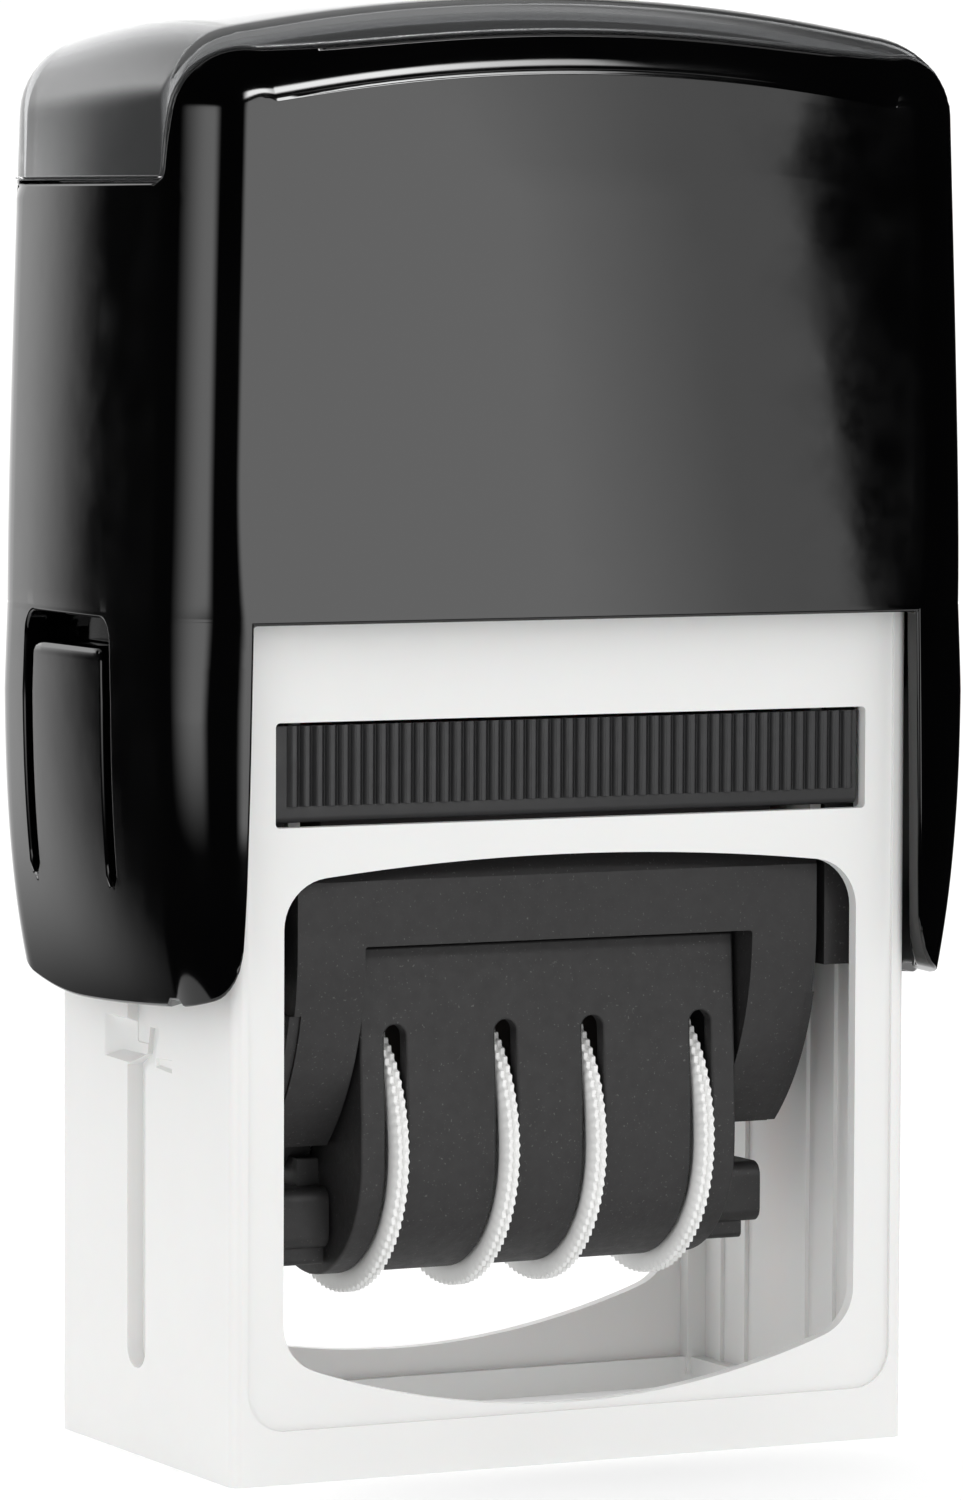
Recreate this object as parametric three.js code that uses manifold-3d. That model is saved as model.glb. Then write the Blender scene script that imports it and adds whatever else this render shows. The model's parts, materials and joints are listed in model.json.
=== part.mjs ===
// Self-inking date stamp, in millimetres. +X runs across the width, -Y is the front and +Z is up.
// The origin is on the ground under the middle of the base. Everything is drawn at rest:
// the cover is up and the printing face looks up at the ink pad.

import * as THREE from 'three';
import { mergeVertices } from 'three/addons/utils/BufferGeometryUtils.js';
import Module from 'manifold-3d';

const wasm = await Module();
wasm.setup();

// ---------------------------------------------------------------- driving dimensions

const GAP = 0.3; // running gap between neighbours

const BASE = {
  halfWidth: 30,
  halfDepth: 16.7,
  height: 67.3,
  corner: 1,
  softTop: 1.5,
  sideWall: 1.7,
  faceWall: 1.4,
  deck: 1.8,
};
const RIM = { halfWidth: 27, halfDepth: 14.5, height: 2.5 }; // round the print opening
const POST = { radius: 4.8, height: 10 }; // carries the foot of the spring
const BAY_WALL = { inner: 22.8, outer: 23.8, bottom: 50.6 };
const GUIDE = { inner: 26.6, gap: 0.4 }; // uprights on both sides of the yoke's arms

const WINDOW = { halfWidth: 25.5, top: 48.6, topCrown: 0.0025, bottom: 4.8, bottomCrown: 0.0075, corner: 4 };

const PAD_SLOT = { halfWidth: 26.25, bottom: 51.4, top: 59.6 };
const REAR_SLOT = { halfWidth: 18, bottom: 53, top: 58 };

const GROOVE = { y: 1.75, halfWidth: 1.75, bottom: 7, top: 62, depth: 1 };
const FLARE = { halfWidth: 2.6, bottom: 30, top: 34, depth: 0.6 };
const SIDE_RECESSES = [[2.3, 7.85], [-5.2, -2.5]]; // places along Y
const RECESS = { bottom: 31.7, top: 34.6, depth: 0.5 };
const KEY = { halfWidth: 1.35, reach: 0.8, bond: 0.6, bottom: 39.5, top: 45 }; // runs in the groove

const COVER = {
  halfWidth: 35.7,
  halfDepth: 19.5,
  corner: 6,
  wall: 1.8,
  bottom: 36.6,
  seam: 67.8,
  sideTop: 101,
  height: 117,
  crown: 0.0031,
  draftX: 1,
  draftY: 0.5,
  skirtDraft: 2.1,
  edgeRise: 0.9,
  edgeRound: 3,
  shoulder: 7.5,
  edge: 6,
};
const COVER_CUT = { halfWidth: 29.5, top: 67.5, corner: 1.2 };
const NOTCH = { from: -11.6, to: -10, depth: 2 };
const TONGUE = { y: 2.6, halfWidth: 6.5, slit: 1.5, root: 45.7, tip: 65.1, opening: 67.6 };

const CAP = {
  thickness: 1.3,
  recess: 2,
  under: 1.6,
  legEnd: 101.4,
  legCorner: 1.5,
  y: 2.1,
  legHalfDepth: 13.7,
  hipZ: 106,
  topZ: 113.5,
  top: 17.4,
};

const PIVOT_Z = 41; // hinge of the die carriage at rest
const ARM = { inner: 24.2, outer: 27.7, halfDepth: 13.5, bottom: 38.5 };
const ARM_WINDOW = { halfDepth: 8, bottom: 50, top: 98 };
const BRIDGE = { bottom: 105, top: 107.5, hole: 9 };
const PIN = { radius: 2.2, hole: 2.5, from: 21.2, to: 27.4, head: 3.4, headFrom: 20.3 };

const PLATE = { halfWidth: 20.5, halfDepth: 12, corner: 0.8 };
const DIE = { edge: 0.3, line: 0.9, ruleHalfLength: 14, ruleY: 6, sheet: 0.9, thickness: 1.8, glue: 0.3 };
const PRINT_FACE_Z = PIVOT_Z + 10.5;
const FELT_Z = 52;

const HOLDER = {
  halfWidth: 23.5,
  wall: 1.5,
  front: 14,
  bend: 41.5, // below this the faces curve back
  bendRadius: 22.5,
  bottom: 25.2,
  chamfer: 46.8,
  deck: 47.7,
  top: 48.9,
  rim: 12.6,
  cutHalfWidth: 17.3,
  cutTop: 41.6,
};
const BAND_SLOT = { halfWidth: 13.5, front: -4.4, back: 3.9 };

const WHEEL = { y: -1.5, z: 24.8, radius: 12.2, thickness: 1.3, teeth: 48, tooth: 0.45, drum: 6, bore: 1.7 };
const WHEEL_X = { outer: 13.7, inner: 3.9 };
const AXLE = { radius: 1.4, halfLength: 19.2 };

const SHIELD = { halfWidth: 16.8, wall: 1.3, y: -2.4, z: 24.2, radius: 9.9, top: 41.3 };
const SHIELD_SLOT = { width: 1.9, top: 34.6 };

const LATCH = { front: -7, back: -0.4, bottom: 16.9, top: 21.8, outer: 22, corner: 1 };
const LATCH_LIP = { front: -6, back: -1.4, bottom: 15.5, outer: 20.8 };

const BAND = { thickness: 0.9, topRadius: 2.4, topZ: 49, wide: 5 };
const ANVIL = { halfDepth: 1.2, halfWidth: 15.2, bottom: 37.5, shoulder: 45, topHalfWidth: 13.1 };

const SPRING = { radius: 6.6, wire: 1.2, turns: 8, bottom: 67.9, top: 112.4 };
const COIL = { sides: 6, stepsPerTurn: 14 }; // facets of the coil

// ---------------------------------------------------------------- materials

function material(colour, roughness, metalness = 0) {
  return new THREE.MeshStandardMaterial({ color: colour, roughness, metalness });
}

const FINISH = {
  whitePlastic: () => material(0xebebe9, 0.45),
  glossBlack: () => material(0x0b0b0d, 0.12),
  mattBlack: () => material(0x232426, 0.6),
  greyPlastic: () => material(0xc9cacb, 0.5),
  smoky: () => material(0x202226, 0.05),
  steel: () => material(0xb9bcc0, 0.3, 1),
  rubber: () => material(0x3a3a3c, 0.85),
  bandRubber: () => material(0x4b4644, 0.8),
  felt: () => material(0x1f2033, 0.95),
};

// ---------------------------------------------------------------- helpers

// A closed three.js geometry as a solid that can be joined and cut.
function solid(geometry) {
  const plain = geometry.clone();
  plain.deleteAttribute('normal');
  plain.deleteAttribute('uv');
  const merged = mergeVertices(plain, 1e-4);
  return new wasm.Manifold(
    new wasm.Mesh({
      numProp: 3,
      vertProperties: new Float32Array(merged.attributes.position.array),
      triVerts: new Uint32Array(merged.index.array),
    }),
  );
}

// The solid as a three.js geometry again.
function geometryOf(body) {
  const mesh = body.getMesh();
  const geometry = new THREE.BufferGeometry();
  geometry.setAttribute('position', new THREE.BufferAttribute(mesh.vertProperties, 3));
  geometry.setIndex(new THREE.BufferAttribute(mesh.triVerts, 1));
  geometry.computeVertexNormals();
  return geometry;
}

const join = (bodies) => bodies.reduce((sum, body) => sum.add(body));
const cut = (body, tools) => tools.reduce((left, tool) => left.subtract(tool), body);
const inSome = (body, limits) => limits.reduce((left, limit) => left.intersect(limit), body);

function box([x0, x1], [y0, y1], [z0, z1]) {
  const geometry = new THREE.BoxGeometry(x1 - x0, y1 - y0, z1 - z0);
  geometry.translate((x0 + x1) / 2, (y0 + y1) / 2, (z0 + z1) / 2);
  return solid(geometry);
}

// A closed outline from corner points [a, b, radius]; a corner with a radius becomes an arc.
function outline(points) {
  const shape = new THREE.Shape();
  const count = points.length;
  points.forEach(([a, b, radius = 0], i) => {
    const here = new THREE.Vector2(a, b);
    if (radius === 0) {
      if (i === 0) shape.moveTo(a, b);
      else shape.lineTo(a, b);
      return;
    }
    const before = new THREE.Vector2(...points[(i + count - 1) % count]).sub(here).normalize();
    const after = new THREE.Vector2(...points[(i + 1) % count]).sub(here).normalize();
    const half = Math.acos(before.dot(after)) / 2;
    const middle = before.clone().add(after).normalize();
    const centre = middle.multiplyScalar(radius / Math.sin(half)).add(here);
    const start = before.multiplyScalar(radius / Math.tan(half)).add(here).sub(centre);
    const end = after.multiplyScalar(radius / Math.tan(half)).add(here).sub(centre);
    if (i === 0) shape.moveTo(centre.x + start.x, centre.y + start.y);
    else shape.lineTo(centre.x + start.x, centre.y + start.y);
    shape.absarc(centre.x, centre.y, radius, start.angle(), end.angle(), start.cross(end) < 0);
  });
  return shape;
}

// A shape drawn in the plane across an axis, run along that axis from one place to another.
// Across X the shape is drawn in (Y, Z), across Y in (X, Z) and across Z in (X, Y).
function prism(shape, axis, [from, to], curveSegments = 5) {
  const geometry = new THREE.ExtrudeGeometry(shape, { depth: to - from, bevelEnabled: false, curveSegments });
  if (axis === 'x') {
    geometry.applyMatrix4(new THREE.Matrix4().set(0, 0, 1, from, 1, 0, 0, 0, 0, 1, 0, 0, 0, 0, 0, 1));
  } else if (axis === 'y') {
    geometry.rotateX(Math.PI / 2);
    geometry.translate(0, to, 0);
  } else {
    geometry.translate(0, 0, from);
  }
  return solid(geometry);
}

function disc([a, b], radius) {
  const shape = new THREE.Shape();
  shape.absarc(a, b, radius, 0, Math.PI * 2, false);
  return shape;
}

// A round bar along X through the point (y, z).
function barX([y, z], radius, span, segments = 8) {
  return prism(disc([y, z], radius), 'x', span, segments);
}

function rectangle([a0, a1], [b0, b1], radius = 0) {
  return outline([[a0, b0, radius], [a1, b0, radius], [a1, b1, radius], [a0, b1, radius]]);
}

const mirrorX = (body) => body.mirror([1, 0, 0]);

function steps(from, to, count) {
  return Array.from({ length: count + 1 }, (_, i) => from + ((to - from) * i) / count);
}

const model = new THREE.Group();
model.name = 'date_stamp';

function add(group, name, body, finish) {
  const mesh = new THREE.Mesh(geometryOf(body), finish());
  mesh.name = name;
  group.add(mesh);
}

// ---------------------------------------------------------------- base frame

function windowOutline() {
  const w = WINDOW.halfWidth;
  const low = steps(-w, w, 10).map((x) => [x, WINDOW.bottom + WINDOW.bottomCrown * x * x]);
  const high = steps(w, -w, 8).map((x) => [x, WINDOW.top - WINDOW.topCrown * x * x]);
  const rounded = [low[0], low[low.length - 1], high[0], high[high.length - 1]];
  rounded.forEach((corner) => corner.push(WINDOW.corner));
  return outline([...low, ...high]);
}

function baseFrame() {
  const { halfWidth: w, halfDepth: d, height: h, sideWall, faceWall, deck, corner, softTop } = BASE;
  const innerW = w - sideWall;
  const innerD = d - faceWall;
  const armReach = ARM.halfDepth + GUIDE.gap;

  const block = inSome(prism(rectangle([-w, w], [-d, d], corner), 'z', [0, h]), [
    prism(outline([[-w, 0], [w, 0], [w, h, softTop], [-w, h, softTop]]), 'y', [-d, d]),
    prism(outline([[-d, 0], [d, 0], [d, h, softTop], [-d, h, softTop]]), 'x', [-w, w]),
  ]);
  const room = box([-innerW, innerW], [-innerD, innerD], [RIM.height, h - deck]);
  const openHeight = [-1, RIM.height + 1];
  const printOpening = box([-RIM.halfWidth, RIM.halfWidth], [-RIM.halfDepth, RIM.halfDepth], openHeight);

  const overDeck = [h - deck - 1, h + 1];
  const armSlot = box([ARM.inner - GAP, innerW], [-armReach, armReach], overDeck);
  const grooveShape = rectangle(
    [GROOVE.y - GROOVE.halfWidth, GROOVE.y + GROOVE.halfWidth],
    [GROOVE.bottom, GROOVE.top],
    GROOVE.halfWidth - 0.05,
  );
  const groove = prism(grooveShape, 'x', [innerW - GROOVE.depth, w + 1]);
  const flare = box(
    [w - FLARE.depth, w + 1],
    [GROOVE.y - FLARE.halfWidth, GROOVE.y + FLARE.halfWidth],
    [FLARE.bottom, FLARE.top],
  );
  const recessHeight = [RECESS.bottom, RECESS.top];
  const recesses = SIDE_RECESSES.map((span) => box([w - RECESS.depth, w + 1], span, recessHeight));
  const sideCuts = join([groove, flare, ...recesses, armSlot]);

  const shell = cut(block, [
    room,
    printOpening,
    prism(windowOutline(), 'y', [-d - 1, d + 1]),
    box([-PAD_SLOT.halfWidth, PAD_SLOT.halfWidth], [-d - 1, -innerD + 1], [PAD_SLOT.bottom, PAD_SLOT.top]),
    box([-REAR_SLOT.halfWidth, REAR_SLOT.halfWidth], [innerD - 1, d + 1], [REAR_SLOT.bottom, REAR_SLOT.top]),
    sideCuts,
    mirrorX(sideCuts),
  ]);

  // walls of the ink pad bay, guides for the yoke and the spring post, each let into its neighbours
  const bond = 0.5;
  const underDeck = h - deck + bond;
  const { inner, outer, bottom } = BAY_WALL;
  const bayWall = box([inner, outer], [-ARM.halfDepth, innerD + bond], [bottom, underDeck]);
  const guideSpans = [[armReach, innerD + bond], [-innerD - bond, -armReach]];
  const guides = guideSpans.map((span) => box([GUIDE.inner, innerW + bond], span, [1, underDeck]));
  const sideParts = join([bayWall, ...guides]);
  const post = prism(disc([0, 0], POST.radius), 'z', [h - bond, h + POST.height], 10);
  return join([shell, sideParts, mirrorX(sideParts), post]);
}

// ---------------------------------------------------------------- ink pad cartridge

const TRAY = { halfWidth: 22.4, back: 14.9, bottom: 52.3, top: 59.1, feltRoom: 54.5 };
const HOLLOW = { halfWidth: 19, halfDepth: 11, depth: 2.5 };
const REAR_TAB = { halfWidth: 17.5, back: 16.2, bottom: 53.4, top: 57.6 };
const GRIP = {
  halfWidth: 25.9,
  face: -15.5,
  back: -13.85,
  bottom: 51.7,
  top: 59.3,
  lip: 53,
  ribStart: -24.9,
  ribEnd: 25.6,
  ribs: 46,
  rib: 0.35,
};
const FELT = { halfWidth: 20.5, halfDepth: 12.6 };

function inkPadTray() {
  const { halfWidth, face, back, bottom, top, lip, ribStart, ribEnd, ribs, rib } = GRIP;
  const pitch = (ribEnd - ribStart) / ribs;
  const front = [[ribStart, face]];
  for (let i = 0; i < ribs; i += 1) {
    const x = ribStart + i * pitch;
    front.push([x + pitch * 0.3, face - rib], [x + pitch * 0.7, face - rib], [x + pitch, face]);
  }
  const leftEnd = [[-halfWidth, back], [-halfWidth, face]];
  const rightEnd = [[halfWidth, face], [halfWidth, back]];
  const ribbed = outline([...leftEnd, ...front, ...rightEnd]);
  const plain = rectangle([-halfWidth, halfWidth], [face, back]);
  const grip = join([prism(ribbed, 'z', [lip, top]), prism(plain, 'z', [bottom, lip + 0.1])]);
  const body = box([-TRAY.halfWidth, TRAY.halfWidth], [back - 0.2, TRAY.back], [TRAY.bottom, TRAY.top]);
  const rearTab = box(
    [-REAR_TAB.halfWidth, REAR_TAB.halfWidth],
    [TRAY.back - 0.5, REAR_TAB.back],
    [REAR_TAB.bottom, REAR_TAB.top],
  );
  const feltRoom = box(
    [-FELT.halfWidth - GAP, FELT.halfWidth + GAP],
    [-FELT.halfDepth - GAP, FELT.halfDepth + GAP],
    [TRAY.bottom - 1, TRAY.feltRoom],
  );
  const hollow = box(
    [-HOLLOW.halfWidth, HOLLOW.halfWidth],
    [-HOLLOW.halfDepth, HOLLOW.halfDepth],
    [TRAY.top - HOLLOW.depth, TRAY.top + 1],
  );
  return cut(join([grip, body, rearTab]), [feltRoom, hollow]);
}

function inkPadFelt() {
  return prism(
    rectangle([-FELT.halfWidth, FELT.halfWidth], [-FELT.halfDepth, FELT.halfDepth], 1),
    'z',
    [FELT_Z, TRAY.feltRoom - GAP],
    2,
  );
}

// ---------------------------------------------------------------- cover and index cap

// The outer form of the cover, set in by the same amount on every face.
function coverForm(inset, sections = 10) {
  const { halfWidth, halfDepth, corner, bottom, seam, sideTop, height, crown, draftX, draftY } = COVER;
  const w = halfWidth - inset;
  const d = halfDepth - inset;
  const top = height - inset;
  const low = bottom - 2;
  const shoulderX = w - draftX - 0.3;
  const side = [
    [w - COVER.skirtDraft, low],
    [w, seam],
    [w - draftX, sideTop],
  ];
  const crownPoint = (x) => [x, top - crown * x * x];
  const shoulder = COVER.shoulder - inset * 0.8;
  const flat = shoulderX - shoulder - 1.5;
  const crownLine = [
    [...crownPoint(shoulderX), shoulder],
    ...steps(flat, -flat, sections).map(crownPoint),
    [...crownPoint(-shoulderX), shoulder],
  ];
  const front = outline([...side, ...crownLine, ...side.map(([x, z]) => [-x, z]).reverse()]);
  const profile = outline([
    [d - 0.6, low],
    [d, seam],
    [d - draftY, sideTop],
    [d - draftY - 0.2, top, COVER.edge - inset * 0.8],
    [-d + draftY + 0.2, top, COVER.edge - inset * 0.8],
    [-d + draftY, sideTop],
    [-d, seam],
    [-d + 0.6, low],
  ]);
  const plan = rectangle([-w, w], [-d, d], corner - inset * 0.9);
  return inSome(prism(plan, 'z', [low, top + 1], 6), [
    prism(front, 'y', [-d - 1, d + 1], 6),
    prism(profile, 'x', [-w - 1, w + 1], 6),
  ]);
}

// Everything that the clear cap covers, grown by a margin: a saddle over the top and down both sides.
function capZone(margin) {
  const { legEnd, legCorner, y, legHalfDepth, hipZ, topZ, top } = CAP;
  const leg = legHalfDepth + margin;
  const wide = top + margin;
  return prism(
    outline([
      [y - leg, legEnd - margin, legCorner],
      [y + leg, legEnd - margin, legCorner],
      [y + leg, hipZ],
      [wide, topZ],
      [wide, COVER.height + 3],
      [-wide, COVER.height + 3],
      [-wide, topZ],
      [y - leg - 1, hipZ],
    ]),
    'x',
    [-COVER.halfWidth - 2, COVER.halfWidth + 2],
    3,
  );
}

function coverShell() {
  const { halfWidth: w, halfDepth: d, bottom, wall, edgeRise, edgeRound } = COVER;
  const outer = coverForm(0);
  const upperWall = CAP.recess + CAP.under;
  const split = CAP.legEnd - 3.4;
  const below = box([-w, w], [-d, d], [0, split]);
  const room = join([coverForm(wall, 8).intersect(below), coverForm(upperWall, 8)]);

  // the skirt hangs at the two ends only, with a curved and rounded lower edge
  const reach = d + 1;
  const lower = outline([
    [-reach, bottom + edgeRise],
    [-reach + 1, bottom + edgeRise, edgeRound],
    [0, bottom],
    [reach - 1, bottom + edgeRise, edgeRound],
    [reach, bottom + edgeRise],
    [reach, COVER.height + 2],
    [-reach, COVER.height + 2],
  ]);
  const trimmed = outer.intersect(prism(lower, 'x', [-w - 1, w + 1], 3));
  const cutOut = prism(
    outline([
      [-COVER_CUT.halfWidth, 0],
      [COVER_CUT.halfWidth, 0],
      [COVER_CUT.halfWidth, COVER_CUT.top, COVER_CUT.corner],
      [-COVER_CUT.halfWidth, COVER_CUT.top, COVER_CUT.corner],
    ]),
    'y',
    [-d - 5, d + 5],
    3,
  );

  const slotSpan = TONGUE.halfWidth + TONGUE.slit;
  const uSlit = cut(
    box([w - 4, w + 2], [TONGUE.y - slotSpan, TONGUE.y + slotSpan], [TONGUE.root, TONGUE.opening]),
    [box([w - 5, w + 3], [TONGUE.y - TONGUE.halfWidth, TONGUE.y + TONGUE.halfWidth], [0, TONGUE.tip])],
  );
  const notch = box([w - 5, w + 2], [NOTCH.from, NOTCH.to], [0, bottom + NOTCH.depth]);
  const sideCuts = uSlit.add(notch);
  const recess = outer.subtract(coverForm(CAP.recess)).intersect(capZone(GAP));
  const body = cut(trimmed, [room, cutOut, sideCuts, mirrorX(sideCuts), recess]);

  // a key on each side that runs in the base's groove
  const key = box(
    [BASE.halfWidth - KEY.reach, w - wall - KEY.bond],
    [GROOVE.y - KEY.halfWidth, GROOVE.y + KEY.halfWidth],
    [KEY.bottom, KEY.top],
  );
  return join([body, key, mirrorX(key)]);
}

function indexCap() {
  return coverForm(0).subtract(coverForm(CAP.thickness)).intersect(capZone(0));
}

function yokeFrame() {
  const arm = box([ARM.inner, ARM.outer], [-ARM.halfDepth, ARM.halfDepth], [ARM.bottom, BRIDGE.top]);
  const bridge = box([-ARM.outer, ARM.outer], [-ARM.halfDepth, ARM.halfDepth], [BRIDGE.bottom, BRIDGE.top]);
  const hole = prism(disc([0, 0], BRIDGE.hole), 'z', [BRIDGE.bottom - 1, BRIDGE.top + 1], 12);
  const across = [-ARM.outer - 1, ARM.outer + 1];
  const pinHole = barX([0, PIVOT_Z], PIN.hole, across);
  const { halfDepth, bottom, top } = ARM_WINDOW;
  const window = box(across, [-halfDepth, halfDepth], [bottom, top]);
  return cut(join([arm, mirrorX(arm), bridge]), [hole, pinHole, window]);
}

class Helix extends THREE.Curve {
  getPoint(t, target = new THREE.Vector3()) {
    const angle = t * SPRING.turns * Math.PI * 2;
    const reach = SPRING.wire / 2;
    const z = SPRING.bottom + reach + t * (SPRING.top - SPRING.bottom - 2 * reach);
    return target.set(SPRING.radius * Math.cos(angle), SPRING.radius * Math.sin(angle), z);
  }
}

function mainSpring() {
  const section = new THREE.Shape();
  for (let i = 0; i < COIL.sides; i += 1) {
    const angle = (i * Math.PI * 2) / COIL.sides;
    const place = [(SPRING.wire / 2) * Math.cos(angle), (SPRING.wire / 2) * Math.sin(angle)];
    if (i === 0) section.moveTo(...place);
    else section.lineTo(...place);
  }
  section.closePath();
  const count = SPRING.turns * COIL.stepsPerTurn;
  return solid(new THREE.ExtrudeGeometry(section, { steps: count, extrudePath: new Helix() }));
}

// ---------------------------------------------------------------- die carriage

// The hood's section in (Y, Z), set in by the same amount on every face.
function hoodOutline(inset, bottom, top) {
  const { front, bend, bendRadius, chamfer, rim } = HOLDER;
  const centre = bendRadius - front;
  const heights = steps(bottom, bend, 8);
  const curve = heights.map((z) => [centre - Math.sqrt((bendRadius - inset) ** 2 - (z - bend) ** 2), z]);
  const half = [...curve, [-front + inset, chamfer - inset], [-rim + inset, top]];
  return outline([...half, ...half.map(([y, z]) => [-y, z]).reverse()]);
}

function dieHolder() {
  const { halfWidth: w, wall, front, bottom, deck, top, cutHalfWidth, cutTop } = HOLDER;
  const hood = prism(hoodOutline(0, bottom, top), 'x', [-w, w]);
  const room = prism(hoodOutline(wall, bottom - 1, deck - wall), 'x', [-w + wall, w - wall]);
  const platePocket = box(
    [-PLATE.halfWidth - GAP, PLATE.halfWidth + GAP],
    [-PLATE.halfDepth - GAP, PLATE.halfDepth + GAP],
    [deck, top + 1],
  );
  const belowCut = box([-cutHalfWidth, cutHalfWidth], [-front - 2, front + 2], [0, cutTop]);
  const across = [-BAND_SLOT.halfWidth, BAND_SLOT.halfWidth];
  const bandSlot = box(across, [BAND_SLOT.front, BAND_SLOT.back], [deck - 4, deck + 1]);
  const pinHole = barX([0, PIVOT_Z], PIN.hole, [-w - 1, w + 1]);
  return cut(hood, [room, platePocket, belowCut, bandSlot, pinHole]);
}

function pivotPin() {
  const { radius, from, to, head, headFrom } = PIN;
  return join([barX([0, PIVOT_Z], radius, [from, to]), barX([0, PIVOT_Z], head, [headFrom, from + 0.4])]);
}

const BAND_WINDOW = { halfWidth: 13.4, halfDepth: 3.2 };

function bandWindow() {
  const { halfWidth: w, halfDepth: d } = BAND_WINDOW;
  return box([-w, w], [-d, d], [HOLDER.deck, PRINT_FACE_Z + 1]);
}

function textPlate() {
  const { halfWidth: w, halfDepth: d, corner } = PLATE;
  const span = [HOLDER.deck + GAP, PRINT_FACE_Z - DIE.thickness - DIE.glue];
  return prism(rectangle([-w, w], [-d, d], corner), 'z', span, 2).subtract(bandWindow());
}

// The rubber carries a plain raised border and two rule lines, with no words.
function rubberDie() {
  const { line, ruleHalfLength, ruleY } = DIE;
  const w = PLATE.halfWidth - DIE.edge;
  const d = PLATE.halfDepth - DIE.edge;
  const low = PRINT_FACE_Z - DIE.thickness;
  const sheetTop = PRINT_FACE_Z - DIE.sheet;
  const raised = [sheetTop - 0.1, PRINT_FACE_Z];
  const sheet = box([-w, w], [-d, d], [low, sheetTop]);
  const inside = box([line - w, w - line], [line - d, d - line], [low, PRINT_FACE_Z + 1]);
  const border = box([-w, w], [-d, d], raised).subtract(inside);
  const across = [-ruleHalfLength, ruleHalfLength];
  const rules = [-ruleY, ruleY].map((y) => box(across, [y - line / 2, y + line / 2], raised));
  return join([sheet, border, ...rules]).subtract(bandWindow());
}

function dateShield() {
  const { halfWidth: w, wall, y, z, radius, top } = SHIELD;
  const slotHalf = SHIELD_SLOT.width / 2;
  const trough = (inset, high) => {
    const shape = new THREE.Shape();
    shape.moveTo(y - radius + inset, high);
    shape.lineTo(y - radius + inset, z);
    shape.absarc(y, z, radius - inset, Math.PI, Math.PI * 2, false);
    shape.lineTo(y + radius - inset, high);
    return shape;
  };
  const outer = prism(trough(0, top), 'x', [-w, w], 10);
  const inner = prism(trough(wall, top + 1), 'x', [-w + wall, w - wall], 10);
  const across = [y - radius - 1, y + radius + 1];
  const slotHeight = [z - radius * 2, SHIELD_SLOT.top];
  const places = [-WHEEL_X.outer, -WHEEL_X.inner, WHEEL_X.inner, WHEEL_X.outer];
  const slots = places.map((x) =>
    prism(rectangle([x - slotHalf, x + slotHalf], slotHeight, slotHalf - 0.05), 'y', across, 4),
  );
  const axleHole = barX([WHEEL.y, WHEEL.z], WHEEL.bore, [-w - 1, w + 1]);
  return cut(outer, [inner, ...slots, axleHole]);
}

// A spring latch at each end of the date shield, which holds the axle.
function shieldLatch() {
  const inner = SHIELD.halfWidth + GAP;
  const { front, back, bottom, top, outer, corner } = LATCH;
  const block = prism(rectangle([front, back], [bottom, top], corner), 'x', [inner, outer], 3);
  const lipDepth = [LATCH_LIP.front, LATCH_LIP.back];
  const lip = box([inner, LATCH_LIP.outer], lipDepth, [LATCH_LIP.bottom, bottom + 0.1]);
  return join([block, lip]);
}

function bandAnvil() {
  const { halfDepth, halfWidth, bottom, shoulder, topHalfWidth } = ANVIL;
  const depth = [-halfDepth, halfDepth];
  return join([
    box([-halfWidth, halfWidth], depth, [bottom, shoulder]),
    box([-topHalfWidth, topHalfWidth], depth, [shoulder - 0.1, BAND.topZ + 0.6]),
  ]);
}

function dateWheel(x, drumSpan) {
  const { y, z, radius, thickness, teeth, tooth, drum, bore } = WHEEL;
  const shape = new THREE.Shape();
  for (let i = 0; i < teeth * 2; i += 1) {
    const angle = (i * Math.PI) / teeth;
    const reach = i % 2 === 0 ? radius : radius - tooth;
    const place = [y + reach * Math.cos(angle), z + reach * Math.sin(angle)];
    if (i === 0) shape.moveTo(...place);
    else shape.lineTo(...place);
  }
  shape.closePath();
  const rim = prism(shape, 'x', [x - thickness / 2, x + thickness / 2]);
  return cut(join([rim, barX([y, z], drum, drumSpan, 12)]), [barX([y, z], bore, [-30, 30])]);
}

// A rubber band round its drum and over the anvil: two circles and their outer tangents.
function dateBand(span) {
  const low = new THREE.Vector2(WHEEL.y, WHEEL.z);
  const high = new THREE.Vector2(0, BAND.topZ);
  const between = high.clone().sub(low);
  const loop = (inset) => {
    const big = WHEEL.drum + GAP + BAND.thickness - inset;
    const small = BAND.topRadius - inset;
    const tilt = Math.acos((big - small) / between.length());
    const along = between.angle();
    const shape = new THREE.Shape();
    shape.absarc(low.x, low.y, big, along + tilt, along - tilt + Math.PI * 2, false);
    shape.absarc(high.x, high.y, small, along - tilt, along + tilt, false);
    return shape;
  };
  const inside = prism(loop(BAND.thickness), 'x', [span[0] - 1, span[1] + 1], 8);
  return prism(loop(0), 'x', span, 8).subtract(inside);
}

// ---------------------------------------------------------------- the whole stamp

add(model, 'base_frame', baseFrame(), FINISH.whitePlastic);
add(model, 'ink_pad_tray', inkPadTray(), FINISH.mattBlack);
add(model, 'ink_pad_felt', inkPadFelt(), FINISH.felt);

const moving = new THREE.Group();
moving.name = 'cover_assembly';
model.add(moving);
add(moving, 'cover_shell', coverShell(), FINISH.glossBlack);
add(moving, 'yoke_frame', yokeFrame(), FINISH.mattBlack);
add(moving, 'index_cap', indexCap(), FINISH.smoky);
add(moving, 'pivot_pin_right', pivotPin(), FINISH.steel);
add(moving, 'pivot_pin_left', mirrorX(pivotPin()), FINISH.steel);
add(model, 'main_spring', mainSpring(), FINISH.steel);

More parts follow.
